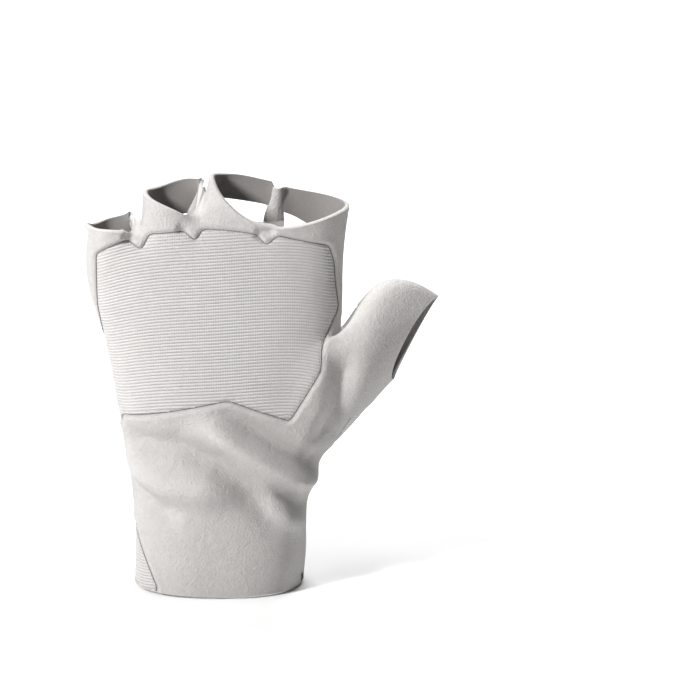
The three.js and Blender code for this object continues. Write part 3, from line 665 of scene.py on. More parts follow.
def edgeObject(name, places, edges, outwards):
    # loose edges with an outward direction at each point, for a Geometry Nodes tree to dress
    mesh = bpy.data.meshes.new(name)
    mesh.from_pydata([tuple(p) for p in np.asarray(places) * mm], [tuple(e) for e in edges], [])
    layer = mesh.attributes.new("outward", "FLOAT_VECTOR", "POINT")
    layer.data.foreach_set("vector", np.asarray(outwards, np.float32).reshape(-1))
    return inScene(name, mesh)


def bakeModifiers(target):
    graph = bpy.context.evaluated_depsgraph_get()
    mesh = bpy.data.meshes.new_from_object(target.evaluated_get(graph), depsgraph=graph)
    target.modifiers.clear()
    old = target.data
    target.data = mesh
    bpy.data.meshes.remove(old)
    return target


def freeEdges(faces):
    sides = np.stack([faces, np.roll(faces, -1, axis=1)], axis=2).reshape(-1, 2)
    _, index, uses = np.unique(np.sort(sides, axis=1), axis=0, return_inverse=True, return_counts=True)
    return sides[uses[index.reshape(-1)] == 1]


def makeWall(name, surface, high, low):
    # a closed wall between two heights above the outer face, its rims rounded over
    points, faces, normals = surface["points"][:, :3], surface["faces"], surface["normals"]
    count = len(points)
    outer = points + normals * np.broadcast_to(high, count)[:, None]
    inner = points + normals * np.broadcast_to(low, count)[:, None]
    rim = freeEdges(faces)
    onRim = np.unique(rim)
    place = {int(p): 2 * count + i for i, p in enumerate(onRim)}
    along = np.zeros((count, 3))
    for a, b in ((0, 1), (1, 0)):
        sign = 1 if a == 0 else -1
        np.add.at(along, rim[:, a], sign * (points[rim[:, b]] - points[rim[:, a]]))
    out = np.cross(along[onRim], normals[onRim])
    out /= np.maximum(np.linalg.norm(out, axis=1), 1e-9)[:, None]
    middle = (outer[onRim] + inner[onRim]) / 2 + out * layers["rimRound"]
    closing = []
    for a, b in rim:
        closing.append((b, a, place[int(a)], place[int(b)]))
        closing.append((place[int(b)], place[int(a)], a + count, b + count))
    allFaces = [tuple(f) for f in faces] + [tuple(f[::-1] + count) for f in faces] + closing
    return meshObject(name, np.concatenate([outer, inner, middle]), allFaces)


def windsForward(outline):
    # whether the outline runs anticlockwise, seen from the back of the hand
    ahead = list(outline[1:]) + [outline[0]]
    return sum(a[0] * b[1] - b[0] * a[1] for a, b in zip(outline, ahead)) > 0


def makePrism(outline, fromY, toY):
    count = len(outline)
    ring = list(outline) if windsForward(outline) else list(outline)[::-1]
    points = [(x, fromY, z) for x, z in ring] + [(x, toY, z) for x, z in ring]
    faces = [tuple(range(count)), tuple(range(2 * count - 1, count - 1, -1))]
    for i in range(count):
        after = (i + 1) % count
        faces.append((i, i + count, after + count, after))
    made = meshObject("cutter", points, faces, smooth=False)
    bm = bmesh.new()
    bm.from_mesh(made.data)
    bmesh.ops.triangulate(bm, faces=bm.faces)
    bm.to_mesh(made.data)
    bm.free()
    return made


def cutWith(target, cuts):
    # each cut is an operation and its cutter, and the cutters go once they are used
    for operation, cutter in cuts:
        modifier = target.modifiers.new("cut", "BOOLEAN")
        modifier.operation = operation
        modifier.solver = "MANIFOLD"
        modifier.object = cutter
    bakeModifiers(target)
    for _, cutter in cuts:
        bpy.data.objects.remove(cutter)
    return target


def copyOf(target):
    made = target.copy()
    made.data = target.data.copy()
    bpy.context.scene.collection.objects.link(made)
    return made


def grown(outline, distance):
    count = len(outline)
    outwards = distance * (1 if windsForward(outline) else -1)

    def normal(a, b):
        length = math.hypot(b[0] - a[0], b[1] - a[1])
        return (b[1] - a[1]) / length, (a[0] - b[0]) / length

    made = []
    for i, point in enumerate(outline):
        before = normal(outline[i - 1], point)
        after = normal(point, outline[(i + 1) % count])
        spread = max(1 + before[0] * after[0] + before[1] * after[1], 0.2)
        made.append(tuple(point[k] + outwards * (before[k] + after[k]) / spread for k in (0, 1)))
    return made


rounding = dict(reach=0.35, steps=(0, 0.25, 0.5, 0.75, 1))


def softened(outline, radius):
    # corners rounded with short arcs, so that seams turn as sewn cloth does
    made = []
    count = len(outline)
    for i, point in enumerate(outline):
        point = np.array(point)
        back, ahead = np.array(outline[i - 1]) - point, np.array(outline[(i + 1) % count]) - point
        reach = min(radius, *(rounding["reach"] * np.linalg.norm(side) for side in (back, ahead)))
        start = point + back / np.linalg.norm(back) * reach
        end = point + ahead / np.linalg.norm(ahead) * reach
        for t in rounding["steps"]:
            made.append(tuple((1 - t) ** 2 * start + 2 * t * (1 - t) * point + t * t * end))
    return made


outlines = dict(
    ribbedBack=[
        (-0.463, 0.828), (-0.400, 0.853), (-0.343, 0.869), (-0.286, 0.845), (-0.253, 0.885),
        (-0.121, 0.894), (-0.078, 0.870), (-0.046, 0.899), (0.055, 0.896), (0.152, 0.887),
        (0.197, 0.858), (0.241, 0.883), (0.436, 0.852), (0.456, 0.805), (0.460, 0.756),
        (0.474, 0.688), (0.409, 0.609), (0.405, 0.548), (0.296, 0.440), (0.280, 0.431),
        (0.046, 0.484), (-0.366, 0.432), (-0.378, 0.402), (-0.700, 0.402), (-0.700, 0.585),
        (-0.432, 0.590), (-0.461, 0.697),
    ],
    ribbedWedge=[(-0.700, 0.150), (-0.330, 0.150), (-0.305, 0.110), (-0.240, 0.015), (-0.240, -0.100),
                 (-0.700, -0.100)],
    ribbedHeel=[(-0.700, 0.585), (0.260, 0.585), (0.260, 0.209), (-0.280, 0.209), (-0.300, -0.100),
                (-0.700, -0.100)],
    palmOpening=[
        (0.700, 0.780), (0.500, 0.796), (0.440, 0.826), (0.385, 0.862), (0.300, 0.892), (0.190, 0.920),
        (0.020, 0.936), (-0.050, 0.915), (-0.100, 0.899), (-0.200, 0.885), (-0.290, 0.850), (-0.354, 0.800),
        (-0.453, 0.751), (-0.700, 0.690), (-0.700, 0.540), (-0.455, 0.536), (-0.400, 0.487),
        (-0.349, 0.436), (-0.294, 0.399), (-0.126, 0.332), (0.164, 0.232), (0.215, 0.190),
        (0.222, 0.130), (0.195, 0.073), (0.090, 0.041), (-0.013, 0.012), (-0.185, -0.010),
        (-0.200, -0.100), (0.300, -0.100), (0.318, 0.100), (0.332, 0.200), (0.372, 0.290),
        (0.515, 0.400), (0.548, 0.470), (0.535, 0.545), (0.540, 0.625), (0.550, 0.700), (0.570, 0.825),
    ],
    ribbedThumb=[(0.480, 0.530), (0.550, 0.590), (0.625, 0.640), (0.705, 0.665), (0.830, 0.665),
                 (0.960, 0.600), (0.860, 0.300), (0.380, 0.280), (0.380, 0.500)],
    ribbedThumbBack=[(0.430, 0.310), (0.475, 0.370), (0.522, 0.420), (0.605, 0.440), (0.700, 0.300)],
    patch=[(-0.280, 0.209), (0.260, 0.209), (0.260, -0.100), (-0.300, -0.100)],
)
outlines = {name: inMillimetres(outline) for name, outline in outlines.items()}

# Seams: rounding of corners, gaps, the rolled edge and the swelling beside it, and the painted shadow line
# beside the seam
seams = dict(
    panelRound=2.0, openRound=1.5, thumbRound=1.5, suedeGap=0.14, panelGap=0.10, patchGap=0.25,
    rollDepth=0.75, rollReach=0.80, swell=0.28, swellAt=1.9, swellReach=1.2, innerShare=0.2,
    panelDrop=0.30, panelReach=0.7, seamShadowReach=0.5, seamShadowShare=0.8,
)
panelEdge = softened(outlines["ribbedBack"], seams["panelRound"])
openEdge = softened(outlines["palmOpening"], seams["openRound"])
farAway = size["depth"]
thumbEdge = layers["thumbEdge"] * size["depth"]


def onBack(outline, grow, edge=0.0):
    return makePrism(grown(outline, grow), -farAway, edge + layers["backOverlap"] + grow)


def onPalm(outline, grow, edge=0.0):
    return makePrism(grown(outline, grow), edge - grow, farAway)


def joined(first, *others):
    return cutWith(first, [("UNION", other) for other in others])


def handRibRegion(grow):
    return joined(onBack(panelEdge, grow), onBack(outlines["ribbedWedge"], grow),
                  onPalm(outlines["ribbedHeel"], grow))


def thumbRibRegion(grow):
    return joined(onPalm(softened(outlines["ribbedThumb"], seams["thumbRound"]), grow, thumbEdge),
                  onBack(outlines["ribbedThumbBack"], grow, thumbEdge))


def openPalm():
    return makePrism(openEdge, layers["edgeWrap"], farAway)


def hump(distance, at, reach):
    return np.exp(-((distance - at) / reach) ** 2)


def seamDistance(points):
    # distance on the face to the seams between suede and ribbed rubber
    x, y, z, _ = points.T
    back = distanceToPath(x, z, panelEdge, closed=True)
    back = np.minimum(back, distanceToPath(x, z, outlines["ribbedWedge"], closed=True))
    palm = distanceToPath(x, z, outlines["ribbedThumb"][:5])
    return np.where(y < layers["backOverlap"] + 1, back, palm)


def meshPoints(mesh):
    flat = np.zeros(len(mesh.vertices) * 3)
    mesh.vertices.foreach_get("co", flat)
    return flat.reshape(-1, 3) / mm


# Ribs run across the hand along an arch that follows the knuckles
ribs = dict(
    pitch=1.18, width=1.02, height=0.072, crossPitch=0.85, margin=0.35, spacing=1.25, sides=6, lowest=0.4,
    archAcross=[-60, -50, -43.8, -32, -16.6, 0, 10.7, 22.6, 36.3, 43.7, 55],
    archUp=[-6.0, -2.2, 2.1, 5.6, 8.35, 9.9, 10.5, 10.6, 9.4, 7.1, 1.5],
    archBends=6, archEnds=(-58, 52), thumbTurn=-35.0, thumbOverlap=1,
)


def ribPhase(x, z):
    fit = np.polyfit(ribs["archAcross"], ribs["archUp"], ribs["archBends"])
    return (z - np.polyval(fit, np.clip(x, *ribs["archEnds"]))) / ribs["pitch"]


def thumbPhase(x, z):
    turn = math.radians(ribs["thumbTurn"])
    return (z * math.cos(turn) - x * math.sin(turn)) / ribs["pitch"]


def settle(piece, cadNodes=()):
    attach(piece, "root")
    if cadNodes:
        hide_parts(*cadNodes)
    print("piece", piece.name, len(piece.data.polygons), "faces")
    return piece


def finishPiece(piece, finish, cadNodes, paintSeamShadow=False, crossRibs=False):
    mesh = piece.data
    points = meshPoints(mesh)
    x, y, _ = points.T
    known = np.column_stack([points, np.where(y < 0, -1.0, 1.0)])
    # fold height on the back, which paints shade into the fold hollows and highlight onto the ridges
    setAttribute(mesh, "fold", np.where(y < 0, foldLift(known), 0))
    # painted shadow: the suede darkens close to its seams with the ribbed rubber
    edge = hump(seamDistance(known), 0, seams["seamShadowReach"]) if paintSeamShadow else np.zeros(len(x))
    setAttribute(mesh, "edge", edge * seams["seamShadowShare"])
    if crossRibs:
        setAttribute(mesh, "crossRibs", x / ribs["crossPitch"])
    mesh.materials.clear()
    mesh.materials.append(finishes[finish])
    mesh.shade_smooth()
    mesh.set_sharp_from_angle(angle=math.radians(layers["sharpAngle"]))
    return settle(piece, cadNodes)


# Suede, ribbed rubber and lining: the suede rolls in at its seams, and the lining comes up to it
# round the open palm
distance = seamDistance(fine["points"])
roll = (seams["swell"] * hump(distance, seams["swellAt"], seams["swellReach"])
        - seams["rollDepth"] * hump(distance, 0, seams["rollReach"]))
suedeLow = np.minimum(roll, 0) * seams["innerShare"] - layers["suedeThick"]
suedeWall = makeWall("suede_shell_cloth", fine, roll, suedeLow)
ribbedHigh = -layers["ribbedDrop"] - seams["panelDrop"] * hump(distance, 0, seams["panelReach"])
ribbedWall = makeWall("ribbed_panel_rubber", fine, ribbedHigh, ribbedHigh - layers["ribbedThick"])
thumbWall = copyOf(ribbedWall)
thumbWall.name = "thumb_panel_rubber"

packing = dict(height=0.45, reach=4)
x, y, z, _ = coarse["points"].T
packed = packing["height"] * hump(distanceToPath(x, z, openEdge, closed=True), 0, packing["reach"])
liningHigh = layers["liningTop"] + np.where(y > 0, packed, 0)
liningWall = makeWall("lining_cloth", coarse, liningHigh, layers["liningTop"] - layers["liningThick"])

cutWith(liningWall, [("DIFFERENCE", openPalm())])
cutWith(suedeWall, [("DIFFERENCE", openPalm()), ("DIFFERENCE", handRibRegion(seams["suedeGap"])),
                    ("DIFFERENCE", thumbRibRegion(seams["suedeGap"])),
                    ("DIFFERENCE", onPalm(outlines["patch"], seams["patchGap"]))])
cutWith(ribbedWall, [("INTERSECT", handRibRegion(-seams["panelGap"])), ("DIFFERENCE", openPalm())])
cutWith(thumbWall, [("INTERSECT", thumbRibRegion(-seams["panelGap"])), ("DIFFERENCE", openPalm())])

finishPiece(suedeWall, "suede", ["suede_shell"], paintSeamShadow=True)
finishPiece(ribbedWall, "ribbed", ["ribbed_panel"], crossRibs=True)
finishPiece(thumbWall, "ribbed", ["thumb_rib_panel"], crossRibs=True)
finishPiece(liningWall, "lining", ["lining"])
print("glove layers cut")

# Places on the face of the glove
rayStart = 80  # well outside the glove
faceTree = BVHTree.FromPolygons([tuple(p[:3]) for p in fine["points"]], [tuple(f) for f in fine["faces"]])


def onFace(x, z, side):
    # the first place met coming in from the back (-1) or the palm side (1), if there is one
    place, normal, _, _ = faceTree.ray_cast(Vector((x, side * rayStart, z)), Vector((0, -side, 0)))
    return (None, None) if place is None else (np.array(place), np.array(normal))


def alongFace(path, step, high, side, fromY=-rayStart):
    # a path given across and up, laid on the face at a height, as runs of places and outward directions
    runs = [([], [])]
    for x, z in spaced(path, step):
        place, normal = onFace(x, z, side)
        if place is None or place[1] * side < fromY:
            if runs[-1][0]:
                runs.append(([], []))
            continue
        runs[-1][0].append(place + normal * high)
        runs[-1][1].append(normal)
    runs = [run for run in runs if len(run[0]) > 1]
    return [run[0] for run in runs], [run[1] for run in runs]


def spaced(path, step):
    path = [np.array(p, float) for p in path]
    made = []
    for a, b in zip(path[:-1], path[1:]):
        count = max(1, int(round(np.linalg.norm(b - a) / step)))
        made += [a + (b - a) * i / count for i in range(count)]
    return np.array(made + [path[-1]])


def lineObject(name, chains, normals):
    edges, start = [], 0
    for line in chains:
        edges += [(start + i, start + i + 1) for i in range(len(line) - 1)]
        start += len(line)
    places, outwards = ([p for line in lines for p in line] for lines in (chains, normals))
    return edgeObject(name, places, edges, outwards)


def geometryTree(name, inputs):
    tree = bpy.data.node_groups.new(name, "GeometryNodeTree")
    tree.interface.new_socket("Geometry", in_out="INPUT", socket_type="NodeSocketGeometry")
    for label, kind, default in inputs:
        socket = tree.interface.new_socket(label, in_out="INPUT", socket_type=kind)
        if default is not None:
            socket.default_value = default
    tree.interface.new_socket("Geometry", in_out="OUTPUT", socket_type="NodeSocketGeometry")
    return tree, node(tree, "NodeGroupInput"), node(tree, "NodeGroupOutput")


def chain(tree, *steps):
    # links the first output of each node to the first input of the next
    for a, b in zip(steps[:-1], steps[1:]):
        source = a.outputs[0] if hasattr(a, "outputs") else a
        target = b.inputs[0] if hasattr(b, "inputs") else b
        tree.links.new(source, target)


def namedVector(tree, name):
    made = node(tree, "GeometryNodeInputNamedAttribute", data_type="FLOAT_VECTOR")
    made.inputs["Name"].default_value = name
    return made.outputs["Attribute"]


def sweepTree():
    # a flattened cord swept along each line, its flat side on the glove
    tree, start, end = geometryTree("sweptCord", [
        ("Width", "NodeSocketFloat", 0.001), ("Height", "NodeSocketFloat", 0.001),
        ("Spacing", "NodeSocketFloat", 0.001), ("Sides", "NodeSocketInt", 6),
        ("Finish", "NodeSocketMaterial", None),
    ])
    curve = node(tree, "GeometryNodeMeshToCurve")
    even = node(tree, "GeometryNodeResampleCurve", mode="LENGTH")
    aimed = node(tree, "GeometryNodeSetCurveNormal", mode="FREE")
    ring = node(tree, "GeometryNodeCurvePrimitiveCircle")
    flat = node(tree, "GeometryNodeTransform")
    spread = node(tree, "ShaderNodeCombineXYZ")
    swept = node(tree, "GeometryNodeCurveToMesh")
    smooth = node(tree, "GeometryNodeSetShadeSmooth")
    real = node(tree, "GeometryNodeRealizeInstances")
    paint = node(tree, "GeometryNodeSetMaterial")
    ring.inputs["Radius"].default_value = 0.5
    link(tree, start.outputs["Sides"], ring.inputs["Resolution"])
    link(tree, start.outputs["Height"], spread.inputs["X"])
    link(tree, start.outputs["Width"], spread.inputs["Y"])
    spread.inputs["Z"].default_value = 1.0
    link(tree, ring.outputs["Curve"], flat.inputs["Geometry"])
    link(tree, spread.outputs[0], flat.inputs["Scale"])
    link(tree, start.outputs["Spacing"], even.inputs["Length"])
    link(tree, namedVector(tree, "outward"), aimed.inputs["Normal"])
    chain(tree, start, curve, even, aimed, swept, smooth, real, paint, end)
    link(tree, flat.outputs["Geometry"], swept.inputs["Profile Curve"])
    swept.inputs["Fill Caps"].default_value = True
    link(tree, start.outputs["Finish"], paint.inputs["Material"])
    return tree


def stitchTree():
    # short thread lengths laid end to end along each line, each arched over the cloth
    tree, start, end = geometryTree("stitchRow", [
        ("Pitch", "NodeSocketFloat", 0.002), ("Length", "NodeSocketFloat", 0.0015),
        ("Thickness", "NodeSocketFloat", 0.0004), ("Finish", "NodeSocketMaterial", None),
    ])
    curve = node(tree, "GeometryNodeMeshToCurve")
    even = node(tree, "GeometryNodeResampleCurve", mode="LENGTH")
    aimed = node(tree, "GeometryNodeSetCurveNormal", mode="FREE")
    points = node(tree, "GeometryNodeCurveToPoints", mode="EVALUATED")
    stitch = node(tree, "GeometryNodeMeshUVSphere")
    stitch.inputs["Segments"].default_value = 6
    stitch.inputs["Rings"].default_value = 5
    stitch.inputs["Radius"].default_value = 0.5
    spread = node(tree, "ShaderNodeCombineXYZ")
    shaped = node(tree, "GeometryNodeTransform")
    placed = node(tree, "GeometryNodeInstanceOnPoints")
    real = node(tree, "GeometryNodeRealizeInstances")
    smooth = node(tree, "GeometryNodeSetShadeSmooth")
    paint = node(tree, "GeometryNodeSetMaterial")
    link(tree, start.outputs["Thickness"], spread.inputs["X"])
    link(tree, start.outputs["Thickness"], spread.inputs["Y"])
    link(tree, start.outputs["Length"], spread.inputs["Z"])
    link(tree, stitch.outputs["Mesh"], shaped.inputs["Geometry"])
    link(tree, spread.outputs[0], shaped.inputs["Scale"])
    link(tree, start.outputs["Pitch"], even.inputs["Length"])
    link(tree, namedVector(tree, "outward"), aimed.inputs["Normal"])
    chain(tree, start, curve, even, aimed, points, placed, real, smooth, paint, end)
    link(tree, points.outputs["Rotation"], placed.inputs["Rotation"])
    link(tree, shaped.outputs["Geometry"], placed.inputs["Instance"])
    link(tree, start.outputs["Finish"], paint.inputs["Material"])
    return tree


def pileTree():
    # small thread loops scattered over a face and turned at random
    tree, start, end = geometryTree("loopScatter", [
        ("Density", "NodeSocketFloat", 3000000.0), ("Loop Size", "NodeSocketFloat", 0.0007),
        ("Seed", "NodeSocketInt", 11), ("Finish", "NodeSocketMaterial", None),
    ])
    scatter = node(tree, "GeometryNodeDistributePointsOnFaces")
    arc = node(tree, "GeometryNodeCurveArc", mode="RADIUS")
    arc.inputs["Resolution"].default_value = 5
    arc.inputs["Radius"].default_value = 0.5
    arc.inputs["Sweep Angle"].default_value = math.radians(230)
    arc.inputs["Start Angle"].default_value = math.radians(-25)
    thread = node(tree, "GeometryNodeCurvePrimitiveCircle")
    thread.inputs["Resolution"].default_value = 3
    thread.inputs["Radius"].default_value = 0.09
    upright = node(tree, "GeometryNodeTransform")
    upright.inputs["Rotation"].default_value = (math.pi / 2, 0, 0)
    swept = node(tree, "GeometryNodeCurveToMesh")
    placed = node(tree, "GeometryNodeInstanceOnPoints")
    spin = node(tree, "FunctionNodeRandomValue", data_type="FLOAT_VECTOR")
    spin.inputs["Min"].default_value = (-0.5, -0.5, 0.0)
    spin.inputs["Max"].default_value = (0.5, 0.5, 6.283)
    grow = node(tree, "FunctionNodeRandomValue", data_type="FLOAT")
    turn = node(tree, "GeometryNodeRotateInstances")
    scale = node(tree, "ShaderNodeMath", operation="MULTIPLY")
    real = node(tree, "GeometryNodeRealizeInstances")
    smooth = node(tree, "GeometryNodeSetShadeSmooth")
    paint = node(tree, "GeometryNodeSetMaterial")
    grow.inputs["Min"].default_value = 0.7
    grow.inputs["Max"].default_value = 1.3
    link(tree, start.outputs["Density"], scatter.inputs["Density"])
    link(tree, start.outputs["Seed"], scatter.inputs["Seed"])
    link(tree, start.outputs["Seed"], spin.inputs["Seed"])
    link(tree, start.outputs["Seed"], grow.inputs["Seed"])
    link(tree, grow.outputs["Value"], scale.inputs[0])
    link(tree, start.outputs["Loop Size"], scale.inputs[1])
    link(tree, arc.outputs["Curve"], upright.inputs["Geometry"])
    link(tree, upright.outputs["Geometry"], swept.inputs["Curve"])
    link(tree, thread.outputs["Curve"], swept.inputs["Profile Curve"])
    chain(tree, start, scatter)
    link(tree, scatter.outputs["Points"], placed.inputs["Points"])
    link(tree, scatter.outputs["Rotation"], placed.inputs["Rotation"])
    link(tree, swept.outputs["Mesh"], placed.inputs["Instance"])
    link(tree, scale.outputs[0], placed.inputs["Scale"])
    chain(tree, placed, turn, real, smooth, paint, end)
    link(tree, spin.outputs["Value"], turn.inputs["Rotation"])
    link(tree, start.outputs["Finish"], paint.inputs["Material"])
    return tree


trees = dict(sweep=sweepTree(), stitch=stitchTree(), pile=pileTree())


def dress(target, tree, **values):
    modifier = target.modifiers.new(tree.name, "NODES")
    modifier.node_group = tree
    for item in tree.interface.items_tree:
        if item.item_type == "SOCKET" and item.in_out == "INPUT" and item.name in values:
            modifier[item.identifier] = values[item.name]
    return bakeModifiers(target)


# Ribs of the rubber panels
def insideOutline(x, z, outline):
    inside = np.zeros(len(x), bool)
    count = len(outline)
    for i in range(count):
        (ax, az), (bx, bz) = outline[i], outline[(i + 1) % count]
        crosses = (az > z) != (bz > z)
        with np.errstate(divide="ignore", invalid="ignore"):
            meet = ax + (z - az) * (bx - ax) / (bz - az)
        inside ^= crosses & (x < meet)
    return inside


def contourLines(surface, level, high, keep):
    # lines on the face where the level is a whole number, as loose edges
    points, faces, normals = surface["points"], surface["faces"], surface["normals"]
    triangles = np.concatenate([faces[:, [0, 1, 2]], faces[:, [0, 2, 3]]])
    values = level[triangles]
    whole = np.ceil(values.min(axis=1))
    crossed = whole <= values.max(axis=1)
    triangles, values, whole = triangles[crossed], values[crossed], whole[crossed]
    lifted = points[:, :3] + normals * np.broadcast_to(high, len(points))[:, None]
    known, places, outwards, edges = {}, [], [], []
    for tri, vals, k in zip(triangles, values, whole):
        ends = []
        for i, j in ((0, 1), (1, 2), (2, 0)):
            a, b, va, vb = tri[i], tri[j], vals[i], vals[j]
            if (va < k) == (vb < k):
                continue
            key = (min(a, b), max(a, b), k)
            if key not in known:
                share = (k - va) / (vb - va)
                known[key] = len(places)
                places.append(lifted[a] + share * (lifted[b] - lifted[a]))
                outwards.append(normals[a] + share * (normals[b] - normals[a]))
            ends.append(known[key])
        if len(ends) == 2 and ends[0] != ends[1]:
            edges.append(ends)
    places, outwards, edges = np.array(places), np.array(outwards), np.array(edges)
    middle = places[edges].mean(axis=1)
    edges = edges[keep(*middle.T)]
    used, index = np.unique(edges, return_inverse=True)
    return places[used], outwards[used], index.reshape(-1, 2)


def contourObject(name, level, high, keep):
    places, outwards, edges = contourLines(fine, level, high, keep)
    made = edgeObject(name, places, edges, outwards)
    setAttribute(made.data, "crossRibs", places[:, 0] / ribs["crossPitch"])
    return made


def ribLines(name, phase, keep):
    lines = contourObject(name, phase(fine["points"][:, 0], fine["points"][:, 2]), ribbedHigh, keep)
    return dress(lines, trees["sweep"], Width=ribs["width"] * mm, Height=ribs["height"] * 2 * mm,
                 Spacing=ribs["spacing"] * mm, Sides=ribs["sides"], Finish=finishes["rib"])


def inRegion(x, z, name):
    return insideOutline(x, z, grown(outlines[name], -ribs["margin"]))


def overOpening(x, y, z, margin):
    return insideOutline(x, z, grown(openEdge, margin)) & (y > layers["edgeWrap"])


def keepBack(x, y, z):
    panel = insideOutline(x, z, grown(panelEdge, -ribs["margin"]))
    back = panel | inRegion(x, z, "ribbedWedge")
    palm = inRegion(x, z, "ribbedHeel") & ~overOpening(x, y, z, ribs["margin"])
    return np.where(y < layers["backOverlap"], back, palm) & (z > ribs["lowest"])


def keepThumb(x, y, z):
    palm = inRegion(x, z, "ribbedThumb") & ~overOpening(x, y, z, ribs["margin"])
    return np.where(y < thumbEdge + ribs["thumbOverlap"], inRegion(x, z, "ribbedThumbBack"), palm)


settle(ribLines("back_ribs", ribPhase, keepBack))
settle(ribLines("thumb_ribs", thumbPhase, keepThumb))


def sweptCord(name, places, outwards, width, height, finish, spacing=0.8, sides=8):
    return dress(lineObject(name, places, outwards), trees["sweep"], Width=width * mm, Height=height * mm,
                 Spacing=spacing * mm, Sides=sides, Finish=finishes[finish])


def stitchRow(name, places, outwards, pitch, length, thickness, finish):
    return dress(lineObject(name, places, outwards), trees["stitch"], Pitch=pitch * mm, Length=length * mm,
                 Thickness=thickness * mm, Finish=finishes[finish])


# Cut edges of the loops, the thumb and the cuff
rawRims = dict(high=-0.95, width=0.55, height=1.7, spacing=0.9, margin=0.3)


def keepRim(x, y, z):
    inOpening = insideOutline(x, z, grown(openEdge, rawRims["margin"]))
    return ~(inOpening & (y > layers["edgeWrap"] - rawRims["margin"]))


def edgeCord(lines, cord):
    return dress(lines, trees["sweep"], Width=cord["width"] * mm, Height=cord["height"] * mm,
                 Spacing=cord["spacing"] * mm, Sides=8, Finish=finishes["rawEdge"])


rimSides = freeEdges(fine["faces"])
rimSides = rimSides[keepRim(*fine["points"][rimSides].mean(axis=1).T[:3])]
used, index = np.unique(rimSides, return_inverse=True)
rimPlaces = fine["points"][used, :3] + fine["normals"][used] * rawRims["high"]
rimLines = edgeObject("cut_edges", rimPlaces, index.reshape(-1, 2), fine["normals"][used])
settle(edgeCord(rimLines, rawRims))

# Turned edge where the open palm meets the sides of the hand
turnedEdge = dict(width=0.9, height=2.8, high=-1.2, spacing=0.8, margin=0.4, lowest=2.0)


def keepSides(x, y, z):
    return insideOutline(x, z, grown(openEdge, turnedEdge["margin"])) & (z > turnedEdge["lowest"])


sideLevel = (fine["points"][:, 1] - layers["edgeWrap"]) / 100  # nought where the opening's edge wraps round
sideLines = contourObject("palm_turned_edge", sideLevel, turnedEdge["high"], keepSides)
settle(edgeCord(sideLines, turnedEdge))

# Black loop patch on the heel flap
pile = dict(
    high=0.10, low=-0.80, loopRise=0.12, density=2.4e6, loop=0.95, seed=11, fromY=2.0, lowest=0.6, margin=0.5,
    raggedScale=0.6, raggedSeed=3.1, raggedReach=0.9, raggedUp=0.5,
    frayRun=(21, 27), frayGrow=0.6, frayStep=0.55, frayLength=2.2, fraySeed=4, strands=2, strand=0.11,
    frayLowest=0.8, frayRoot=0.5, frayRise=0.3, fraySpacing=0.7,
)
patchWall = makeWall("loop_patch_backing", fine, pile["high"], pile["low"])
cutWith(patchWall, [("INTERSECT", onPalm(outlines["patch"], 0.0)), ("DIFFERENCE", openPalm())])
finishPiece(patchWall, "patch", ["loop_patch"])


def keepPatch(x, y, z):
    scale, seed = pile["raggedScale"], pile["raggedSeed"]
    ragged = np.array([noise.noise(Vector((a * scale, b * scale, seed))) for a, b in zip(x, z)])
    ragged = ragged * pile["raggedReach"]
    patch = insideOutline(x + ragged, z + ragged * pile["raggedUp"], outlines["patch"])
    hole = insideOutline(x, z, grown(openEdge, pile["margin"]))
    return patch & ~hole & (y > pile["fromY"]) & (z > pile["lowest"])


def faceSet(name, surface, high, keep):
    points, faces, normals = surface["points"], surface["faces"], surface["normals"]
    chosen = faces[keep(*points[faces][:, :, :3].mean(axis=1).T)]
    used, index = np.unique(chosen, return_inverse=True)
    return meshObject(name, points[used, :3] + normals[used] * high, index.reshape(-1, 4))


pileFaces = faceSet("loop_patch_pile", fine, pile["loopRise"], keepPatch)
dress(pileFaces, trees["pile"], Density=pile["density"], **{"Loop Size": pile["loop"] * mm},
      Seed=pile["seed"], Finish=finishes["patch"])
settle(pileFaces)

# White fibres where the patch was cut, along its lower left edge and the bottom
dice = random.Random(pile["fraySeed"])
strands, strandNormals = [], []
frayPath = grown(outlines["palmOpening"], pile["frayGrow"])[slice(*pile["frayRun"])]
for x, z in spaced(frayPath, pile["frayStep"]):
    place, normal = onFace(x, max(z, pile["frayLowest"]), 1)
    if place is None:
        continue
    for _ in range(pile["strands"]):
        lean = np.array([dice.uniform(-1, 1), dice.uniform(-0.2, 0.5), dice.uniform(-0.3, 1.0)])
        lean *= pile["frayLength"] * dice.uniform(0.3, 1) / np.linalg.norm(lean)
        start = place + normal * pile["frayRoot"]
        strands.append([start, start + lean * 0.5 + normal * pile["frayRise"], start + lean])
        strandNormals.append([normal] * 3)
settle(sweptCord("loop_patch_fray", strands, strandNormals, pile["strand"], pile["strand"], "rawEdge",
                 spacing=pile["fraySpacing"], sides=3))
print("patch made")

# Rolled binding and piping round the open palm, between two corners of its outline
rolled = dict(run=(14, 26), step=0.8, margin=0.5, width=1.9, height=2.8, high=-0.95, inset=-0.95, sides=10,
              pipeWidth=0.85, pipeHeight=1.0, pipeHigh=0.10, pipeInset=0.25, pipeShort=6)
first, last = rolled["run"]
arc = len(rounding["steps"])  # points of each rounded corner
bindingFrom = layers["edgeWrap"] - rolled["margin"]
bindingPath = grown(openEdge, rolled["inset"])[first * arc:(last + 1) * arc]
places, outwards = alongFace(bindingPath, rolled["step"], rolled["high"], 1, bindingFrom)
settle(sweptCord("palm_binding_roll", places, outwards, rolled["width"], rolled["height"], "binding",
                 sides=rolled["sides"]), ["palm_binding"])
pipePath = grown(openEdge, rolled["pipeInset"])[first * arc:(last - rolled["pipeShort"]) * arc]
places, outwards = alongFace(pipePath, rolled["step"], rolled["pipeHigh"], 1, bindingFrom)
settle(sweptCord("palm_piping", places, outwards, rolled["pipeWidth"], rolled["pipeHeight"], "suede"))

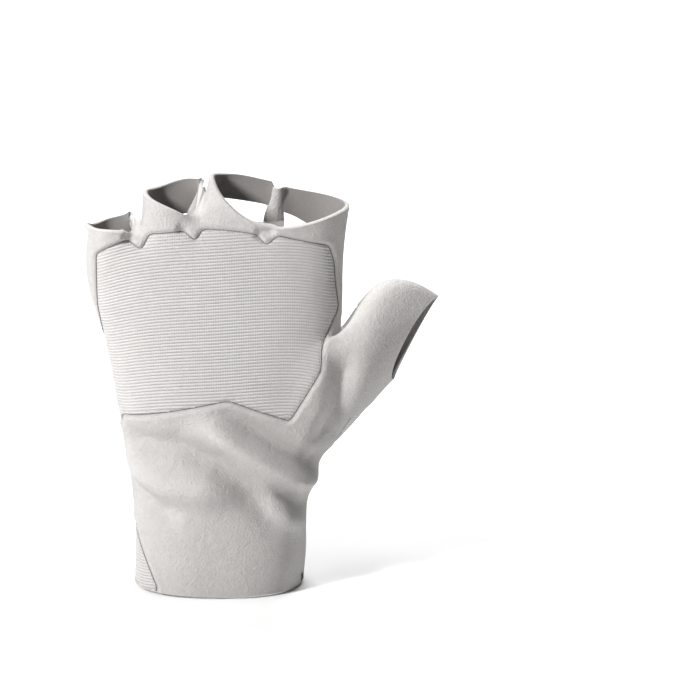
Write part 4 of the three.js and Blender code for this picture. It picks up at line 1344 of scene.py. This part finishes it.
# Short seam between the patch and the little finger's side
heelSeam = dict(path=[(-28.9, 20.0), (-33.0, 20.2), (-38.0, 20.4)], step=0.5, fromY=1.0,
                width=0.42, height=0.6, high=-0.10, sides=6)
places, outwards = alongFace(heelSeam["path"], heelSeam["step"], heelSeam["high"], 1, heelSeam["fromY"])
settle(sweptCord("heel_seam_thread", places, outwards, heelSeam["width"], heelSeam["height"], "blackThread",
                 spacing=heelSeam["step"], sides=heelSeam["sides"]))

# Strap over the patch, its shape in shares of the glove's width and the strap's own
strap = dict(
    width=17.0, height=19.5, startY=7.48, high=2.35, rootHigh=0.25, thick=1.25, rootEnd=17.0, round=1.0,
    inset=1.3, stitchedCorners=5, stitchHigh=0.05, stitchPitch=1.9, stitchLength=1.4, thread=0.42,
    shape=[(0.700, 0.50), (0.040, 0.50), (-0.033, -0.10), (0.002, -0.45), (0.300, -0.52), (0.700, -0.50)],
)
strapOutline = [(across * size["width"], strap["height"] + up * strap["width"])
                for across, up in strap["shape"]]
strapHigh = strap["rootHigh"] + (strap["high"] - strap["rootHigh"]) * smoothStep(
    fine["points"][:, 1], strap["startY"], strap["rootEnd"])
strapWall = makeWall("wrist_strap_webbing", fine, strapHigh, strapHigh - strap["thick"])
strapCutter = makePrism(softened(strapOutline, strap["round"]), strap["startY"], farAway)
cutWith(strapWall, [("INTERSECT", strapCutter)])
finishPiece(strapWall, "strap", ["wrist_strap"])
strapEdge = grown(strapOutline, -strap["inset"])[:strap["stitchedCorners"]]
places, outwards = alongFace(strapEdge, strap["stitchPitch"] / 3, strap["high"] + strap["stitchHigh"], 1,
                             strap["rootEnd"])
settle(stitchRow("wrist_strap_stitches", places, outwards, strap["stitchPitch"], strap["stitchLength"],
                 strap["thread"], "blackThread"))

# Cuff tack
tack = dict(right=31.6, left=30.9, low=0.9, high=3.6, bars=6, bar=0.48,
            step=0.45, rise=0.08, spacing=0.4, sides=6)
places, outwards = [], []
for i in range(tack["bars"]):
    z = tack["low"] + (tack["high"] - tack["low"]) * i / (tack["bars"] - 1)
    run, normals = alongFace([(tack["left"], z), (tack["right"], z)], tack["step"], tack["rise"], -1)
    places += run
    outwards += normals
settle(sweptCord("cuff_bartack_thread", places, outwards, tack["bar"], tack["bar"], "tack",
                 spacing=tack["spacing"], sides=tack["sides"]), ["cuff_bartack"])

# Raised double seam round the thumb, clear of the open palm
hem = dict(width=0.85, height=1.1, high=0.18, spread=0.48, step=0.7, clear=0.2, margin=0.3)
places, outwards = [], []
nearOpening = grown(openEdge, hem["clear"])
for shift in (-hem["spread"], hem["spread"]):
    line = [p for p in spaced([(x, z + shift) for x, z in outlines["ribbedThumb"][:5]], hem["step"])
            if not insideOutline(np.array([p[0]]), np.array([p[1]]), nearOpening)[0]]
    run, normals = alongFace(line, hem["step"], hem["high"], 1, thumbEdge + hem["margin"])
    places += run
    outwards += normals
settle(sweptCord("thumb_hem_ridges", places, outwards, hem["width"], hem["height"], "suede"),
       ["thumb_hem_seam"])
print("binding, strap, tack and hem made")

# Strips between the fingers: across, through and up as shares, half width in millimetres
strips = dict(
    topWidth=7.4, footWidth=6.2, thick=0.8, rows=26, across=8, leadRows=8, curl=1.5, crown=0.25, rest=0.95,
    hang=1.4, flatten=0.5, steepest=0.3, facing=0.15,
    padRows=6, stitchHigh=0.55, pitch=1.05, stitch=0.95, thread=0.40,
    runs=[
        dict(label="1", lead=(-0.316, 0.15, 0.880), leadHalf=1.6, top=(-0.288, 0.13, 0.848),
             landUp=0.775, foot=(-0.238, 0.632)),
        dict(label="2", lead=(-0.056, 0.18, 0.962), leadHalf=0.9, top=(-0.085, 0.14, 0.878),
             landUp=0.805, foot=(-0.015, 0.668)),
        dict(label="3", lead=(0.240, 0.205, 0.959), leadHalf=1.7, top=(0.222, 0.165, 0.880),
             landUp=0.800, foot=(0.185, 0.668)),
    ],
)


def innerBack(x, z):
    place, normal = onFace(x, z, -1)
    return place[1] + (layers["liningThick"] - layers["liningTop"]) / max(-normal[1], strips["steepest"])


def makeStrip(name, run):
    # from the palm side's band over to its top, then down to where it lies on the back's lining
    rows, across, leadRows = (strips[key] for key in ("rows", "across", "leadRows"))
    (leadX, leadY, leadZ), (topX, topY, topZ), (footX, footZ) = run["lead"], run["top"], run["foot"]
    leadHalf, landUp = run["leadHalf"], run["landUp"]
    points = []
    for i in range(leadRows):
        fall = i / leadRows
        eased = fall * fall * (3 - 2 * fall)
        half = leadHalf + (strips["topWidth"] / 2 - leadHalf) * fall
        middle = (leadX + (topX - leadX) * eased) * size["width"]
        y = (leadY + (topY - leadY) * fall) * size["depth"]
        up = (leadZ + (topZ - leadZ) * fall) * size["height"]
        for j in range(across + 1):
            share = 2 * j / across - 1
            lift = strips["curl"] * share * share
            points.append((middle + share * half, y + lift, up + abs(share) * strips["crown"], 1.0))
    for i in range(rows + 1):
        fall = i / rows
        up = topZ + (footZ - topZ) * fall
        hanging = max((up - landUp) / (topZ - landUp), 0)
        half = (strips["topWidth"] + (strips["footWidth"] - strips["topWidth"]) * fall) / 2
        middle = (topX + (footX - topX) * fall) * size["width"]
        restZ = min(up, landUp) * size["height"]
        rest = max(innerBack(middle + share * half, restZ) for share in (-1, 0, 1)) + strips["rest"]
        y = rest + (topY * size["depth"] - rest) * hanging ** strips["hang"]
        for j in range(across + 1):
            share = 2 * j / across - 1
            lift = strips["curl"] * hanging ** strips["flatten"] * share * share
            points.append((middle + share * half, y + lift, up * size["height"], 1.0))
    starts = [i * (across + 1) + j for i in range(rows + leadRows) for j in range(across)]
    faces = np.array([(a, a + 1, a + across + 2, a + across + 1) for a in starts])
    points = np.array(points)
    normals = pointNormals(points, faces)
    if normals[:, 1].mean() < 0:
        faces = faces[:, ::-1]
        normals = -normals
    surface = dict(points=points, faces=faces, normals=normals)
    wall = makeWall(name, surface, strips["thick"] / 2, -strips["thick"] / 2)
    return wall, points[:, :3].reshape(-1, across + 1, 3), normals.reshape(-1, across + 1, 3)


def padStitches(grid, gridNormals):
    # two rows and two sides round the pad at the strip's foot, and a cross over it
    above = grid + gridNormals * strips["thick"] * strips["stitchHigh"]
    lastRow, lastColumn = len(grid) - 2, strips["across"] - 1
    rows = range(len(grid) - 1 - strips["padRows"], lastRow + 1)
    slant = np.linspace(1, lastColumn, len(rows)).round().astype(int)
    routes = [[(row, j) for j in range(1, lastColumn + 1)] for row in (rows[0], lastRow)]
    routes += [[(row, j) for row in rows] for j in (1, lastColumn)]
    routes += [list(zip(rows, columns)) for columns in (slant, slant[::-1])]
    places = [[above[at] for at in route] for route in routes]
    outwards = [[gridNormals[at] for at in route] for route in routes]
    return places, outwards


for run in strips["runs"]:
    wall, grid, gridNormals = makeStrip("finger_strip_cloth_" + run["label"], run)
    finishPiece(wall, "strip", ["finger_strip_" + run["label"]])
    wall.data.materials.append(finishes["suede"])
    for face in wall.data.polygons:
        face.material_index = 1 if face.normal.y < strips["facing"] else 0
    places, outwards = padStitches(grid, gridNormals)
    settle(stitchRow("finger_strip_stitches_" + run["label"], places, outwards, strips["pitch"],
                     strips["stitch"], strips["thread"], "padThread"))
print("finger strips made")
